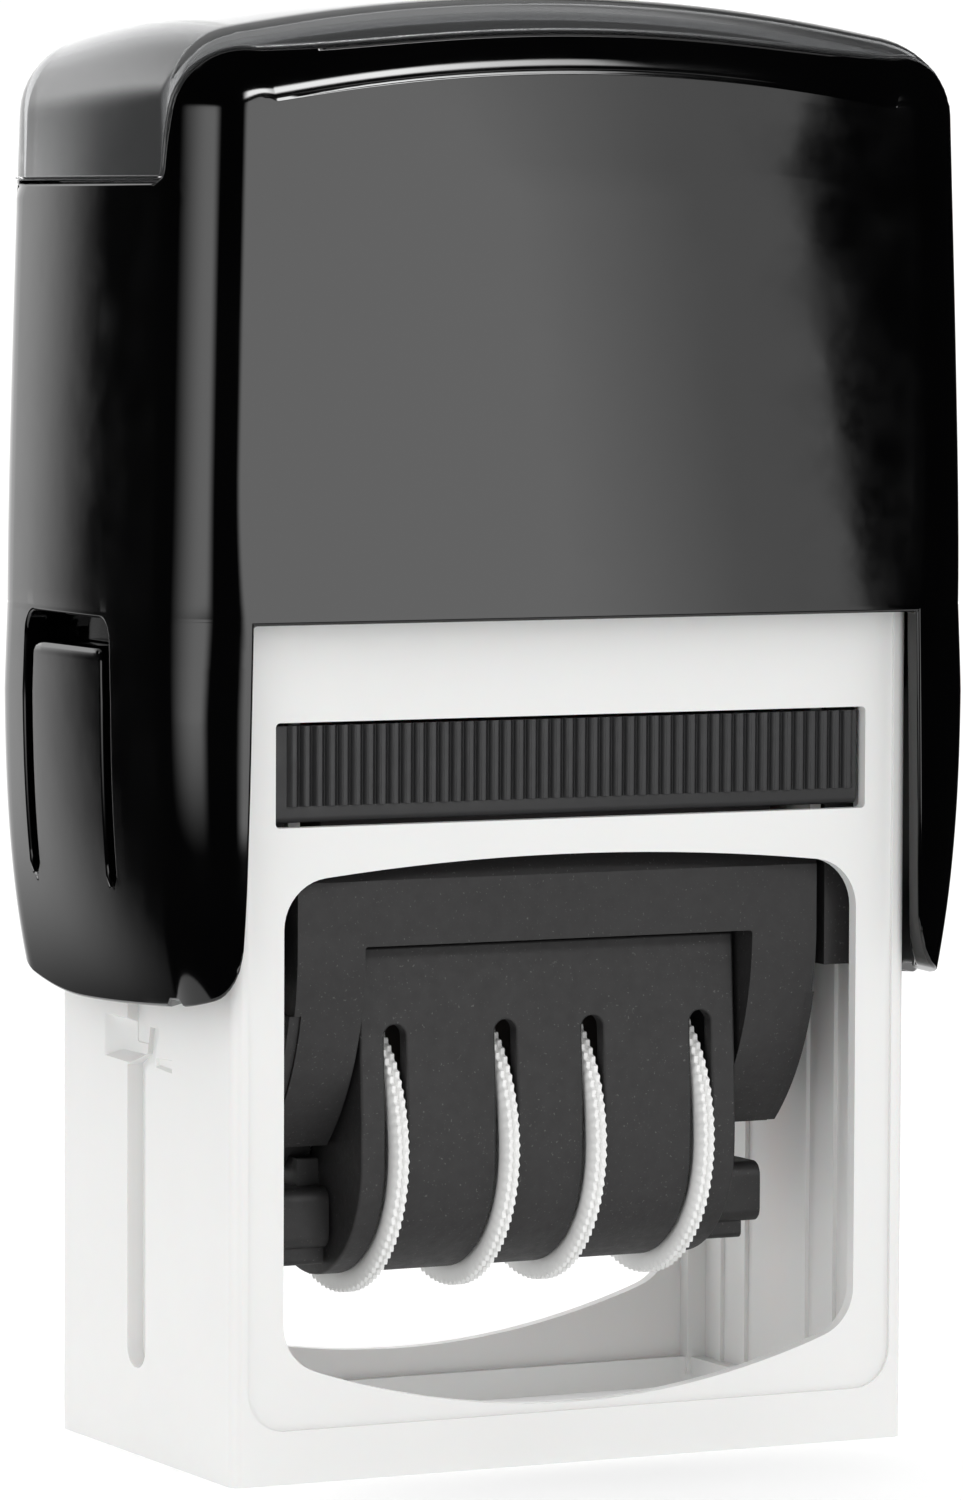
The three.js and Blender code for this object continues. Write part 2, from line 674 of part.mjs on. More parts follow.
const carriage = new THREE.Group();
carriage.name = 'die_carriage';
model.add(carriage);
add(carriage, 'die_holder', dieHolder(), FINISH.mattBlack);
add(carriage, 'text_plate', textPlate(), FINISH.greyPlastic);
add(carriage, 'rubber_die', rubberDie(), FINISH.rubber);
add(carriage, 'date_shield', dateShield(), FINISH.mattBlack);
add(carriage, 'shield_latch_right', shieldLatch(), FINISH.mattBlack);
add(carriage, 'shield_latch_left', mirrorX(shieldLatch()), FINISH.mattBlack);
add(carriage, 'band_anvil', bandAnvil(), FINISH.greyPlastic);
const axle = barX([WHEEL.y, WHEEL.z], AXLE.radius, [-AXLE.halfLength, AXLE.halfLength]);
add(carriage, 'wheel_axle', axle, FINISH.steel);

// Each wheel has its drum and band on the side that faces the middle.
const half = WHEEL.thickness / 2;
const DATE_SETS = [
  { name: 'month', side: -1, wheel: WHEEL_X.outer, end: BAND.wide },
  { name: 'day_tens', side: -1, wheel: WHEEL_X.inner, end: GAP },
  { name: 'day_units', side: 1, wheel: WHEEL_X.inner, end: GAP },
  { name: 'year', side: 1, wheel: WHEEL_X.outer, end: BAND.wide },
];
DATE_SETS.forEach(({ name, side, wheel, end }) => {
  const span = (from, to) => (side > 0 ? [from, to] : [-to, -from]);
  add(carriage, `${name}_wheel`, dateWheel(side * wheel, span(end, wheel)), FINISH.greyPlastic);
  add(carriage, `${name}_band`, dateBand(span(end + 0.15, wheel - half - GAP)), FINISH.bandRubber);
});

export default model;
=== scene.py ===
import json
import math

import bmesh
import bpy
import numpy as np
from mathutils import Matrix, Vector


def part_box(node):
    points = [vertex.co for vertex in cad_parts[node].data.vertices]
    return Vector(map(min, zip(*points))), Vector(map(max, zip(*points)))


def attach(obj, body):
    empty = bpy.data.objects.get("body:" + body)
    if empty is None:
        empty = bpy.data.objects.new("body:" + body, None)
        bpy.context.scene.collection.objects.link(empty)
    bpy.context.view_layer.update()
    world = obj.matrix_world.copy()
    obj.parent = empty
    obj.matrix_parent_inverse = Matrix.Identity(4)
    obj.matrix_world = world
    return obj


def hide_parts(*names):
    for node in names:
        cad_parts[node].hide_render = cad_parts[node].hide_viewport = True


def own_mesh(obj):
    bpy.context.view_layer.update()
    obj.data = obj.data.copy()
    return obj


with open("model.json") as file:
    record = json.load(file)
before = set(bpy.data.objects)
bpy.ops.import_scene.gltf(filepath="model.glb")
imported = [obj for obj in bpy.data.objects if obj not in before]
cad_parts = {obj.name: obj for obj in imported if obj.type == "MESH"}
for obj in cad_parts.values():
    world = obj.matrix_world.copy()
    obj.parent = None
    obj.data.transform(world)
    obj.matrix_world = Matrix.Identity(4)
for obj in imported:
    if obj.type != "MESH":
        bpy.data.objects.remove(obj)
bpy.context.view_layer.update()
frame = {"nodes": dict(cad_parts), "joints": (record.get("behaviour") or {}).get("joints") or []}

MM = 0.001

# Lengths below are in millimetres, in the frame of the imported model: +X across, -Y to the front, +Z up.


def box_mm(node):
    """Lowest and highest corner of a CAD node, in millimetres."""
    low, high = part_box(node)
    return Vector(low) / MM, Vector(high) / MM


BASE_HIGH = box_mm("base_frame")[1]
COVER_LOW, COVER_HIGH = box_mm("cover_shell")
CAP_HIGH = box_mm("index_cap")[1]
SPRING_LOW, SPRING_HIGH = box_mm("main_spring")
TRAY_LOW, TRAY_HIGH = box_mm("ink_pad_tray")
FELT_LOW, FELT_HIGH = box_mm("ink_pad_felt")
SHIELD_HIGH = box_mm("date_shield")[1]
JOINTS = {joint["name"]: joint for joint in frame["joints"]}
WHEEL_Y, WHEEL_Z = (JOINTS["month_turn"]["pos_m"][i] / MM for i in (1, 2))
PIVOT_Z = JOINTS["flip"]["pos_m"][2] / MM


# ------------------------------------------------------------------ materials


class Nodes:
    """Short names for building one node material."""

    def __init__(self, name):
        self.material = bpy.data.materials.new(name)
        self.material.use_nodes = True
        self.tree = self.material.node_tree
        self.shader = self.tree.nodes["Principled BSDF"]
        coordinates = self.tree.nodes.new("ShaderNodeTexCoord")
        self.place = coordinates.outputs["Object"]

    def link(self, source, target):
        self.tree.links.new(source, target)

    def noise(self, scale, detail=3.0, roughness=0.5):
        node = self.tree.nodes.new("ShaderNodeTexNoise")
        node.inputs["Scale"].default_value = scale
        node.inputs["Detail"].default_value = detail
        node.inputs["Roughness"].default_value = roughness
        self.link(self.place, node.inputs["Vector"])
        return node.outputs["Fac"]

    def spread(self, value, low, high, out_low, out_high):
        node = self.tree.nodes.new("ShaderNodeMapRange")
        self.link(value, node.inputs["Value"])
        ends = (("From Min", low), ("From Max", high), ("To Min", out_low), ("To Max", out_high))
        for name, number in ends:
            node.inputs[name].default_value = number
        return node.outputs["Result"]

    def blend(self, factor, first, second):
        node = self.tree.nodes.new("ShaderNodeMix")
        node.data_type = "RGBA"
        self.link(factor, node.inputs["Factor"])
        for socket, value in ((node.inputs[6], first), (node.inputs[7], second)):
            if isinstance(value, (tuple, list)):
                socket.default_value = (*value, 1.0)
            else:
                self.link(value, socket)
        return node.outputs[2]

    def bump(self, height, strength, distance, below=None):
        node = self.tree.nodes.new("ShaderNodeBump")
        node.inputs["Strength"].default_value = strength
        node.inputs["Distance"].default_value = distance * MM
        self.link(height, node.inputs["Height"])
        if below is not None:
            self.link(below, node.inputs["Normal"])
        return node.outputs["Normal"]

    def edges(self):
        node = self.tree.nodes.new("ShaderNodeNewGeometry")
        return self.spread(node.outputs["Pointiness"], 0.52, 0.62, 0.0, 1.0)

    def set(self, **values):
        for name, value in values.items():
            self.shader.inputs[name.replace("_", " ")].default_value = value


def shade(colour, factor):
    return tuple(min(1.0, c * factor) for c in colour)


def moulded(name, colour, roughness, grain, grain_depth, variation=0.06, speckle=0.0, edge_wear_and_highlight=0.15):
    """Moulded plastic: fine grain, slow colour change, a few lighter specks, and paler edges that are partly
    wear and partly a painted highlight.
    """
    n = Nodes(name)
    slow = n.spread(n.noise(60, 2), 0.3, 0.7, 0.0, 1.0)
    colours = n.blend(slow, shade(colour, 1 - variation), shade(colour, 1 + variation))
    if speckle:
        specks = n.spread(n.noise(grain * 1.7, 1), 0.68, 0.78, 0.0, speckle)
        colours = n.blend(specks, colours, (0.3, 0.29, 0.28))
    # paler convex edges, found by pointiness: partly edge wear, partly a painted highlight along edges and
    # ridges
    worn_and_highlit = n.blend(n.spread(n.edges(), 0, 1, 0, edge_wear_and_highlight), colours, shade(colour, 1.9))
    n.link(worn_and_highlit, n.shader.inputs["Base Color"])
    rough = n.spread(n.noise(grain * 0.4, 3), 0.3, 0.7, roughness - 0.06, roughness + 0.06)
    n.link(rough, n.shader.inputs["Roughness"])
    n.link(n.bump(n.noise(grain, 4, 0.6), 0.5, grain_depth), n.shader.inputs["Normal"])
    return n


def white_plastic():
    n = moulded("white_plastic", (0.80, 0.80, 0.79), 0.42, 1500, 0.012, variation=0.012, edge_wear_and_highlight=0.0)
    n.set(Subsurface_Weight=0.08, Subsurface_Scale=0.0015, IOR=1.49)
    return n.material


def gloss_black():
    n = Nodes("gloss_black")
    slow = n.spread(n.noise(45, 2), 0.35, 0.65, 0.0, 1.0)
    n.link(n.blend(slow, (0.0006, 0.0006, 0.0007), (0.0011, 0.0011, 0.0012)), n.shader.inputs["Base Color"])
    smudges = n.spread(n.noise(180, 4, 0.6), 0.35, 0.75, 0.035, 0.085)
    n.link(smudges, n.shader.inputs["Roughness"])
    n.link(n.bump(n.noise(260, 2), 0.25, 0.006), n.shader.inputs["Normal"])
    n.set(IOR=1.5)
    return n.material


def smoky_clear():
    n = Nodes("smoky_clear")
    n.link(n.spread(n.noise(160, 3), 0.3, 0.75, 0.02, 0.07), n.shader.inputs["Roughness"])
    n.link(n.bump(n.noise(200, 2), 0.2, 0.004), n.shader.inputs["Normal"])
    n.set(Base_Color=(0.34, 0.345, 0.35, 1.0), Transmission_Weight=0.88, IOR=1.49)
    return n.material


def wheel_plastic():
    return moulded("grey_plastic", (0.89, 0.89, 0.88), 0.5, 1800, 0.01, variation=0.012, edge_wear_and_highlight=0.0).material


def steel():
    n = Nodes("steel")
    drawn = n.spread(n.noise(900, 5, 0.7), 0.3, 0.7, 0.2, 0.36)
    n.link(drawn, n.shader.inputs["Roughness"])
    n.link(n.blend(n.noise(300, 3), (0.42, 0.43, 0.45), (0.58, 0.58, 0.59)), n.shader.inputs["Base Color"])
    n.link(n.bump(n.noise(1600, 3), 0.3, 0.006), n.shader.inputs["Normal"])
    n.set(Metallic=1.0)
    return n.material


def felt_material():
    n = Nodes("felt")
    fibres = n.noise(2600, 6, 0.75)
    n.link(n.blend(fibres, (0.004, 0.004, 0.012), (0.02, 0.02, 0.05)), n.shader.inputs["Base Color"])
    coarse = n.bump(n.noise(500, 3), 0.5, 0.08)
    n.link(n.bump(fibres, 0.9, 0.12, coarse), n.shader.inputs["Normal"])
    n.set(Roughness=0.95, Sheen_Weight=0.25)
    return n.material


MATERIALS = {
    "white_plastic": white_plastic(),
    "gloss_black": gloss_black(),
    "matt_black": moulded("matt_black", (0.016, 0.0152, 0.0156), 0.58, 2600, 0.05, speckle=0.2).material,
    # pad_black's strong pale edges are mostly a painted highlight on the grip's ribs
    "pad_black": moulded("pad_black", (0.015, 0.015, 0.016), 0.4, 2000, 0.02, edge_wear_and_highlight=0.6).material,
    "smoky_clear": smoky_clear(),
    "grey_plastic": wheel_plastic(),
    "steel": steel(),
    "felt": felt_material(),
    "die_rubber": moulded("die_rubber", (0.035, 0.03, 0.03), 0.8, 1600, 0.04, edge_wear_and_highlight=0.1).material,
    "band_rubber": moulded("band_rubber", (0.07, 0.058, 0.052), 0.75, 1700, 0.04, edge_wear_and_highlight=0.1).material,
}


# ------------------------------------------------------------------ mesh helpers


def new_object(name, mesh):
    obj = bpy.data.objects.new(name, mesh)
    bpy.context.scene.collection.objects.link(obj)
    return obj


def mesh_from(name, points, faces):
    """A mesh from points in millimetres."""
    mesh = bpy.data.meshes.new(name)
    mesh.from_pydata([tuple(c * MM for c in p) for p in points], [], faces)
    mesh.update()
    return mesh


def piece(obj, body, slot, *nodes):
    """Gives an object the material of its slot and attaches it to its body; hides the CAD nodes that it
    stands for.
    """
    obj.data.materials.clear()
    obj.data.materials.append(MATERIALS[slot])
    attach(obj, body)
    if nodes:
        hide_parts(*nodes)
    return obj


def arc(centre, radius, start, end, steps):
    """Points round part of a circle; the angles are in degrees."""
    angles = [math.radians(start + (end - start) * i / steps) for i in range(steps + 1)]
    return [(centre[0] + radius * math.cos(a), centre[1] + radius * math.sin(a)) for a in angles]


def circle(centre, radius, steps=40):
    return arc(centre, radius, 0, 360, steps)[:-1]


def span(side, a, b):
    """A range on the positive side (1) of an axis, or its mirror image on the negative side (-1)."""
    return sorted((side * a, side * b))


def rounded(corners, steps=8):
    """A closed outline from (a, b, radius) corners; corners with a radius become arcs."""
    out = []
    count = len(corners)
    for i, corner in enumerate(corners):
        here = Vector(corner[:2])
        radius = corner[2] if len(corner) > 2 else 0
        if not radius:
            out.append(tuple(here))
            continue
        back = (Vector(corners[i - 1][:2]) - here).normalized()
        ahead = (Vector(corners[(i + 1) % count][:2]) - here).normalized()
        half = back.angle(ahead) / 2
        centre = here + (back + ahead).normalized() * (radius / math.sin(half))
        first = here + back * (radius / math.tan(half)) - centre
        last = here + ahead * (radius / math.tan(half)) - centre
        turn = math.atan2(first.cross(last), first.dot(last))
        start = math.atan2(first.y, first.x)
        for k in range(steps + 1):
            a = start + turn * k / steps
            out.append((centre.x + radius * math.cos(a), centre.y + radius * math.sin(a)))
    return out


def rect(a0, a1, b0, b1, radius=0.0, steps=8):
    return rounded([(a0, b0, radius), (a1, b0, radius), (a1, b1, radius), (a0, b1, radius)], steps)


AXES = {
    "x": lambda a, b, t: (t, a, b),
    "y": lambda a, b, t: (a, t, b),
    "z": lambda a, b, t: (a, b, t),
}


def prism(outline, axis, low, high):
    """Runs an outline along an axis: drawn in (Y, Z) for x, in (X, Z) for y and in (X, Y) for z."""
    place = AXES[axis]
    return loft([place(a, b, low) for a, b in outline], [place(a, b, high) for a, b in outline])


def loft(first, second):
    """A closed form between two loops with the same number of points."""
    count = len(first)
    faces = [tuple(range(count)), tuple(range(count, 2 * count))]
    faces += [(i, (i + 1) % count, count + (i + 1) % count, count + i) for i in range(count)]
    return solid("part", first + second, faces)


def solid(name, points, faces):
    """An object from points in millimetres, with its faces turned outwards."""
    obj = new_object(name, mesh_from(name, points, faces))
    work = bmesh.new()
    work.from_mesh(obj.data)
    bmesh.ops.recalc_face_normals(work, faces=work.faces)
    work.to_mesh(obj.data)
    work.free()
    return obj


def block(x, y, z):
    return prism(rect(x[0], x[1], y[0], y[1]), "z", z[0], z[1])


def bar_x(y, z, radius, x):
    return prism(circle((y, z), radius), "x", *x)


def combine(obj, others, operation):
    """Joins or cuts obj with each of the others, which are used up."""
    for other in others:
        modifier = obj.modifiers.new("cut", "BOOLEAN")
        modifier.operation = operation
        modifier.solver = "EXACT"
        modifier.object = other
        graph = bpy.context.evaluated_depsgraph_get()
        result = bpy.data.meshes.new_from_object(obj.evaluated_get(graph))
        obj.modifiers.clear()
        obj.data = result
        bpy.data.objects.remove(other)
    return obj


def cut(obj, *others):
    return combine(obj, others, "DIFFERENCE")


def join(obj, *others):
    return combine(obj, others, "UNION")


def hard_surface(obj, name, bevel, segments=3, angle=32, clean=0.6):
    """Merges flat faces, then rounds every sharp edge a little."""
    obj.name = name
    obj.data.name = name
    work = bmesh.new()
    work.from_mesh(obj.data)
    bmesh.ops.remove_doubles(work, verts=work.verts, dist=0.002 * MM)
    bmesh.ops.dissolve_limit(
        work, angle_limit=math.radians(clean), verts=work.verts, edges=work.edges, delimit={"NORMAL"}
    )
    bmesh.ops.recalc_face_normals(work, faces=work.faces)
    work.to_mesh(obj.data)
    work.free()
    obj.data.shade_smooth()
    round_edges(obj, bevel, segments, angle)
    even_normals(obj)
    return obj


def round_edges(obj, bevel, segments=3, angle=32, clamp=True):
    modifier = obj.modifiers.new("edges", "BEVEL")
    modifier.width = bevel * MM
    modifier.segments = segments
    modifier.limit_method = "ANGLE"
    modifier.angle_limit = math.radians(angle)
    modifier.use_clamp_overlap = clamp
    modifier.harden_normals = True
    return obj


def even_normals(obj):
    """Lets the larger faces lead the shading, so that flat areas stay flat beside rounded edges."""
    modifier = obj.modifiers.new("normals", "WEIGHTED_NORMAL")
    modifier.keep_sharp = True
    modifier.weight = 50


# ------------------------------------------------------------------ cover and index cap

FILLET = 5.4          # radius between the sides or the top and the front face
SHOULDER = 7.5        # radius between the sides and the top
SEAM_Z = 67.8         # parting line, the widest section
GROOVE_DEPTH = 0.03    # of the fine parting line
GROOVE_HALF = 0.13
PANEL_Z = 67.3        # lower edge of the front and back panels
SIDE_BULGE = 0.12
FRONT_BULGE = 0.25
COVER_HALF_X = COVER_HIGH.x - SIDE_BULGE
COVER_HALF_Y = COVER_HIGH.y - FRONT_BULGE
FLAT = COVER_HALF_Y - FILLET  # half-depth of the flat part of a section
# how far the section draws in above the parting line and below it
DRAFT = {"top_x": 0.75, "top_y": 0.4, "skirt_x": 2.3, "skirt_y": 0.75}
DRAFT_POWER = {"top_x": 1.3, "top_y": 1.2, "skirt": 3.2}
TOP_RISE = 33.2       # the heights over which it does so
SKIRT_FALL = 31.2
CORNER_BLEND = 12.0   # the wide corner of the skirt fades out over this height above the parting line
CORNER_LOSS = 0.9     # the corner of the skirt is this much less deep
CORNER_LOSS_ROOM = 7.0
TOP_Z = CAP_HIGH.z
DOME = 0.8            # drop of the top from its middle to the edge of its flat part, front and back
TOP_FILLET_EXTRA = 1.4  # the fillet over the front face is this much taller than it is deep
CROWN = 0.0033        # drop of the top per square millimetre across
BULGE_END = 4.0       # the sides' bulge ends this far below the top
BULGE_ROOM = 12.0
SKIRT_Z = COVER_LOW.z
CORNER_DROP = 3.2     # radius of the front corner of the skirt's edge
EDGE_LOW = 5.0        # section place of the lowest point of the skirt's edge
EDGE_RISE_BACK = 8.0  # rise of that edge to the back and to the front
EDGE_RISE_FRONT = 1.6
WALL = 1.8
RECESS = 2.0          # depth of the place for the clear cap
CAP_WALL = 1.3
SHELL_EDGE = 0.28     # radius of the small edges of the cover and the cap
SHELL_ANGLE = 50
TONGUE = {
    "y": 2.6, "half": 6.5, "slit": 1.5, "root": 47.0, "tip": 65.1, "open": 67.3, "curl": 1.2, "curl_in": 0.5,
}
FREE_Z = TONGUE["root"] - TONGUE["slit"] / 2 - 0.01  # below this height no row has to meet the tongue's slits
FLANGE_X = 29.35      # inner edge of the skirt's front and back flanges at the parting line
FLANGE_SPREAD = 0.6   # how far that edge moves out on the way down
LEG_Z = 101.4         # lower edge of the clear cap's legs
LEG_FRONT = -14.3     # section places of the cap's edges on the legs
LEG_BACK = 16.4
LEG_CORNER = 1.2
EDGE_FADE = 2.6       # a small shift of the cap's edge fades out over this distance
CAP_TOP_EDGE = 19.0   # section place of the cap's edges over the middle
SECTION_END = FLAT + FILLET * math.pi / 2


def half_width(z):
    if z > SEAM_Z:
        return COVER_HALF_X - DRAFT["top_x"] * ((z - SEAM_Z) / TOP_RISE) ** DRAFT_POWER["top_x"]
    return COVER_HALF_X - DRAFT["skirt_x"] * ((SEAM_Z - z) / SKIRT_FALL) ** DRAFT_POWER["skirt"]


def half_depth(z):
    if z > SEAM_Z:
        return COVER_HALF_Y - DRAFT["top_y"] * ((z - SEAM_Z) / TOP_RISE) ** DRAFT_POWER["top_y"]
    return COVER_HALF_Y - DRAFT["skirt_y"] * ((SEAM_Z - z) / SKIRT_FALL) ** DRAFT_POWER["skirt"]


def fillet(z):
    """Radius between the side and the front at a height; it gets smaller down the skirt."""
    if z >= SEAM_Z:
        return FILLET + (COVER_HALF_X - FLANGE_X - FILLET) * max(0.0, 1 - (z - SEAM_Z) / CORNER_BLEND) ** 2
    return half_width(z) - FLANGE_X - FLANGE_SPREAD * (SEAM_Z - z) / SKIRT_FALL


def fillet_depth(z):
    """The same radius measured from the front: a little less on the skirt, which widens its corners."""
    if z >= SEAM_Z:
        return FILLET
    return FILLET - CORNER_LOSS * min(1.0, (SEAM_Z - z) / CORNER_LOSS_ROOM)


def groove(z):
    """Depth of the fine parting line at a height."""
    return GROOVE_DEPTH * max(0.0, 1 - abs(z - SEAM_Z) / GROOVE_HALF)


def crown(x):
    return TOP_Z - CROWN * x * x


def shoulder_arc():
    """Centre of the shoulder and its first and last angle, from the side up to the crown."""
    low, high = 20.0, 33.0
    for _ in range(40):
        x = (low + high) / 2
        slope = 2 * CROWN * x
        length = math.hypot(slope, 1)
        centre = (x - SHOULDER * slope / length, crown(x) - SHOULDER / length)
        side = half_width(centre[1] + 0.5) - half_width(centre[1] - 0.5)
        reach = (half_width(centre[1]) - centre[0]) / math.hypot(side, 1)
        if reach > SHOULDER:
            low = x
        else:
            high = x
    return centre, -math.degrees(math.atan(side)), 90 - math.degrees(math.atan(slope))


def between(a, b, count):
    return [a + (b - a) * i / count for i in range(count + 1)]


def side_levels(top):
    """Heights of the rows up one side. Rows lie on every edge of the openings."""
    marks = [
        (SKIRT_Z, TONGUE["root"], 14),
        (TONGUE["root"], TONGUE["tip"] - TONGUE["curl"], 16),
        (TONGUE["tip"] - TONGUE["curl"], TONGUE["tip"], 4),
        (TONGUE["tip"], TONGUE["open"], 4),
        (TONGUE["open"], SEAM_Z - GROOVE_HALF, 1),
        (SEAM_Z - GROOVE_HALF, SEAM_Z + GROOVE_HALF, 2),
        (SEAM_Z + GROOVE_HALF, LEG_Z, 28),
        (LEG_Z, LEG_Z + LEG_CORNER, 4),
        (LEG_Z + LEG_CORNER, top, 6),
    ]
    levels = [SKIRT_Z]
    for low, high, count in marks:
        levels += between(low, high, count)[1:]
    return levels


SHOULDER_STEPS = 12


def cover_outline():
    """(x, z, normal x, normal z) from the left skirt over the top to the right skirt."""
    centre, first, last = shoulder_arc()
    top = centre[1] + SHOULDER * math.sin(math.radians(first))
    right = []
    for z in side_levels(top)[:-1]:
        slope = half_width(z + 0.5) - half_width(z - 0.5)
        length = math.hypot(slope, 1)
        right.append((half_width(z), z, 1 / length, -slope / length))
    for i in range(SHOULDER_STEPS):
        a = math.radians(first + (last - first) * i / SHOULDER_STEPS)
        c, s = math.cos(a), math.sin(a)
        right.append((centre[0] + SHOULDER * c, centre[1] + SHOULDER * s, c, s))
    edge = centre[0] + SHOULDER * math.cos(math.radians(last))
    middle = []
    for x in between(edge, -edge, 28):
        slope = 2 * CROWN * x
        length = math.hypot(slope, 1)
        middle.append((x, crown(x), slope / length, 1 / length))
    left = [(-x, z, -nx, nz) for x, z, nx, nz in right]
    return left + [m for m in reversed(middle)] + list(reversed(right))


OUTLINE = cover_outline()
ROWS = len(OUTLINE)
LEVELS = [p[1] for p in OUTLINE]
PANEL_ROW = min(range(ROWS // 2), key=lambda i: abs(LEVELS[i] - PANEL_Z))
CORNER_ROW = len(side_levels(0)) - 1 + SHOULDER_STEPS // 2


def lengths():
    """Distance along the outline from the foot of the cap's leg, for each row; 0 below it."""
    out = [0.0] * ROWS
    for row in range(1, ROWS // 2 + 1):
        step = math.hypot(OUTLINE[row][0] - OUTLINE[row - 1][0], LEVELS[row] - LEVELS[row - 1])
        out[row] = out[row - 1] + step if LEVELS[row - 1] >= LEG_Z - 0.01 else 0.0
        out[ROWS - 1 - row] = out[row]
    return out


LENGTHS = lengths()
RISE_LENGTH = 13.0
RISE_POWER = 1.8


def rise(row):
    """0 at the foot of the cap's legs and 1 over its middle, changing smoothly over the shoulder."""
    return 1 - math.exp(-((LENGTHS[row] / RISE_LENGTH) ** RISE_POWER))


def cap_edges(row, shrink=0.0):
    up = rise(row)
    above = LEVELS[row] - LEG_Z
    corner = 0.0
    if -0.01 <= above < LEG_CORNER:
        corner = LEG_CORNER - math.sqrt(max(0.0, LEG_CORNER ** 2 - (LEG_CORNER - above) ** 2))
    front = LEG_FRONT + (-CAP_TOP_EDGE - LEG_FRONT) * up + shrink + corner
    back = LEG_BACK + (CAP_TOP_EDGE - LEG_BACK) * up - shrink - corner
    return front, back


def slit_edges():
    """Section places of the four long edges of the slits beside the tongue."""
    half, slit = TONGUE["half"], TONGUE["slit"]
    return [TONGUE["y"] + k for k in (-half - slit, -half, half, half + slit)]


SLITS = slit_edges()


def section_lines():
    """Reference places across a section, from the front face to the back face."""
    marks = [
        (-SECTION_END, LEG_FRONT, 15),
        (LEG_FRONT, SLITS[0], 16),
        (SLITS[0], SLITS[1], 4),
        (SLITS[1], SLITS[2], 16),
        (SLITS[2], SLITS[3], 4),
        (SLITS[3], LEG_BACK, 10),
        (LEG_BACK, SECTION_END, 11),
    ]
    lines = [-SECTION_END]
    for low, high, count in marks:
        lines += between(low, high, count)[1:]
    return lines


LINES = section_lines()


def line_at(value):
    return min(range(len(LINES)), key=lambda j: abs(LINES[j] - value))


FRONT_LINE, BACK_LINE = line_at(LEG_FRONT), line_at(LEG_BACK)


def faded(distance, shift, room):
    """The share of a shift of the cap's edge that a line this far beyond the edge still gets."""
    reach = room if abs(shift) > EDGE_FADE / 2 else EDGE_FADE
    return max(0.0, 1 - distance / reach)


def warped(row, line, shrink=0.0):
    """The section place of a line in a row, moved so that the cap's edges stay on grid lines."""
    q = LINES[line]
    front, back = cap_edges(row, shrink)
    if q < LEG_FRONT:
        return q + (front - LEG_FRONT) * faded(LEG_FRONT - q, front - LEG_FRONT, SECTION_END + LEG_FRONT)
    if q > LEG_BACK:
        return q + (back - LEG_BACK) * faded(q - LEG_BACK, back - LEG_BACK, SECTION_END - LEG_BACK)
    share = (q - LEG_FRONT) / (LEG_BACK - LEG_FRONT)
    return front + (back - front) * share


def cover_point(row, q, inset, height=None):
    """A point of the cover's outer form, moved in by inset along the surface's own normal."""
    x, z, nx, nz = OUTLINE[row]
    if height is not None:
        x, z = math.copysign(half_width(height), x), height
    inset = inset + groove(z) * abs(nx)
    radius, deep = fillet(z), fillet_depth(z)
    turn = max(0.0, (abs(q) - FLAT) / FILLET)
    fade = min(1.0, max(0.0, (TOP_Z - BULGE_END - z) / BULGE_ROOM))
    bulge = SIDE_BULGE * abs(nx) * max(0.0, 1 - (q / FLAT) ** 2) * fade
    edge = 1 - math.cos(turn)
    dome = DOME * max(0.0, nz) ** 2
    sink = dome * ((q / FLAT) ** 2 if turn == 0 else 1 + 2 * (turn * FILLET / FLAT)) * (1 - edge)
    tall = radius + TOP_FILLET_EXTRA * max(0.0, nz) ** 2
    shrink = tall * edge + sink + (inset - bulge) * math.cos(turn)
    x -= nx * shrink
    z -= nz * shrink
    if turn == 0:
        y = q / FLAT * (half_depth(z) - deep)
    else:
        y = math.copysign(half_depth(z) - deep + (deep - inset) * math.sin(turn), q)
    return x, y, z


OPENING_CORNER = 1.5
TONGUE_CORNER = 1.15
NOTCH = {"from": -14.6, "to": -12.6, "height": 0.5}


def pulled(q, z, corner_q, corner_z, radius, side):
    """Moves a place on a square corner onto a rounded one. side is where the corner's middle lies across."""
    centre_q, centre_z = corner_q + side * radius, corner_z - radius
    dq, dz = q - centre_q, z - centre_z
    reach = math.hypot(dq, dz)
    beyond = max(abs(dq), abs(dz)) > radius + 0.01
    if beyond or dq * side > 0 or dz < 0 or reach <= radius:
        return q, z
    return centre_q + dq * radius / reach, centre_z + dz * radius / reach


def softened(q, z):
    """Rounds the corners of the opening, of the tongue's tip and the lower ends of the slits."""
    near = 0.01
    top, tip, root = TONGUE["open"], TONGUE["tip"], TONGUE["root"]
    for corner, side in ((SLITS[0], 1), (SLITS[3], -1)):
        if abs(q - corner) < near or abs(z - top) < near:
            q, z = pulled(q, z, corner, top, OPENING_CORNER, side)
    for corner, side in ((SLITS[1], 1), (SLITS[2], -1)):
        if abs(q - corner) < near or abs(z - tip) < near:
            q, z = pulled(q, z, corner, tip, TONGUE_CORNER, side)
    for low, high in ((SLITS[0], SLITS[1]), (SLITS[2], SLITS[3])):
        half = (high - low) / 2
        if abs(z - root) < near and low < q < high:
            z -= math.sqrt(max(0.0, half ** 2 - (q - low - half) ** 2))
    return q, z


def lip(q, z):
    """How far the tongue's tip curves in."""
    if not SLITS[1] - 0.01 <= q <= SLITS[2] + 0.01 or not 0 <= TONGUE["tip"] - z + 0.01 < TONGUE["curl"]:
        return 0.0
    t = 1 - (TONGUE["tip"] - z) / TONGUE["curl"]
    return TONGUE["curl_in"] * (1 - math.sqrt(max(0.0, 1 - t * t)))


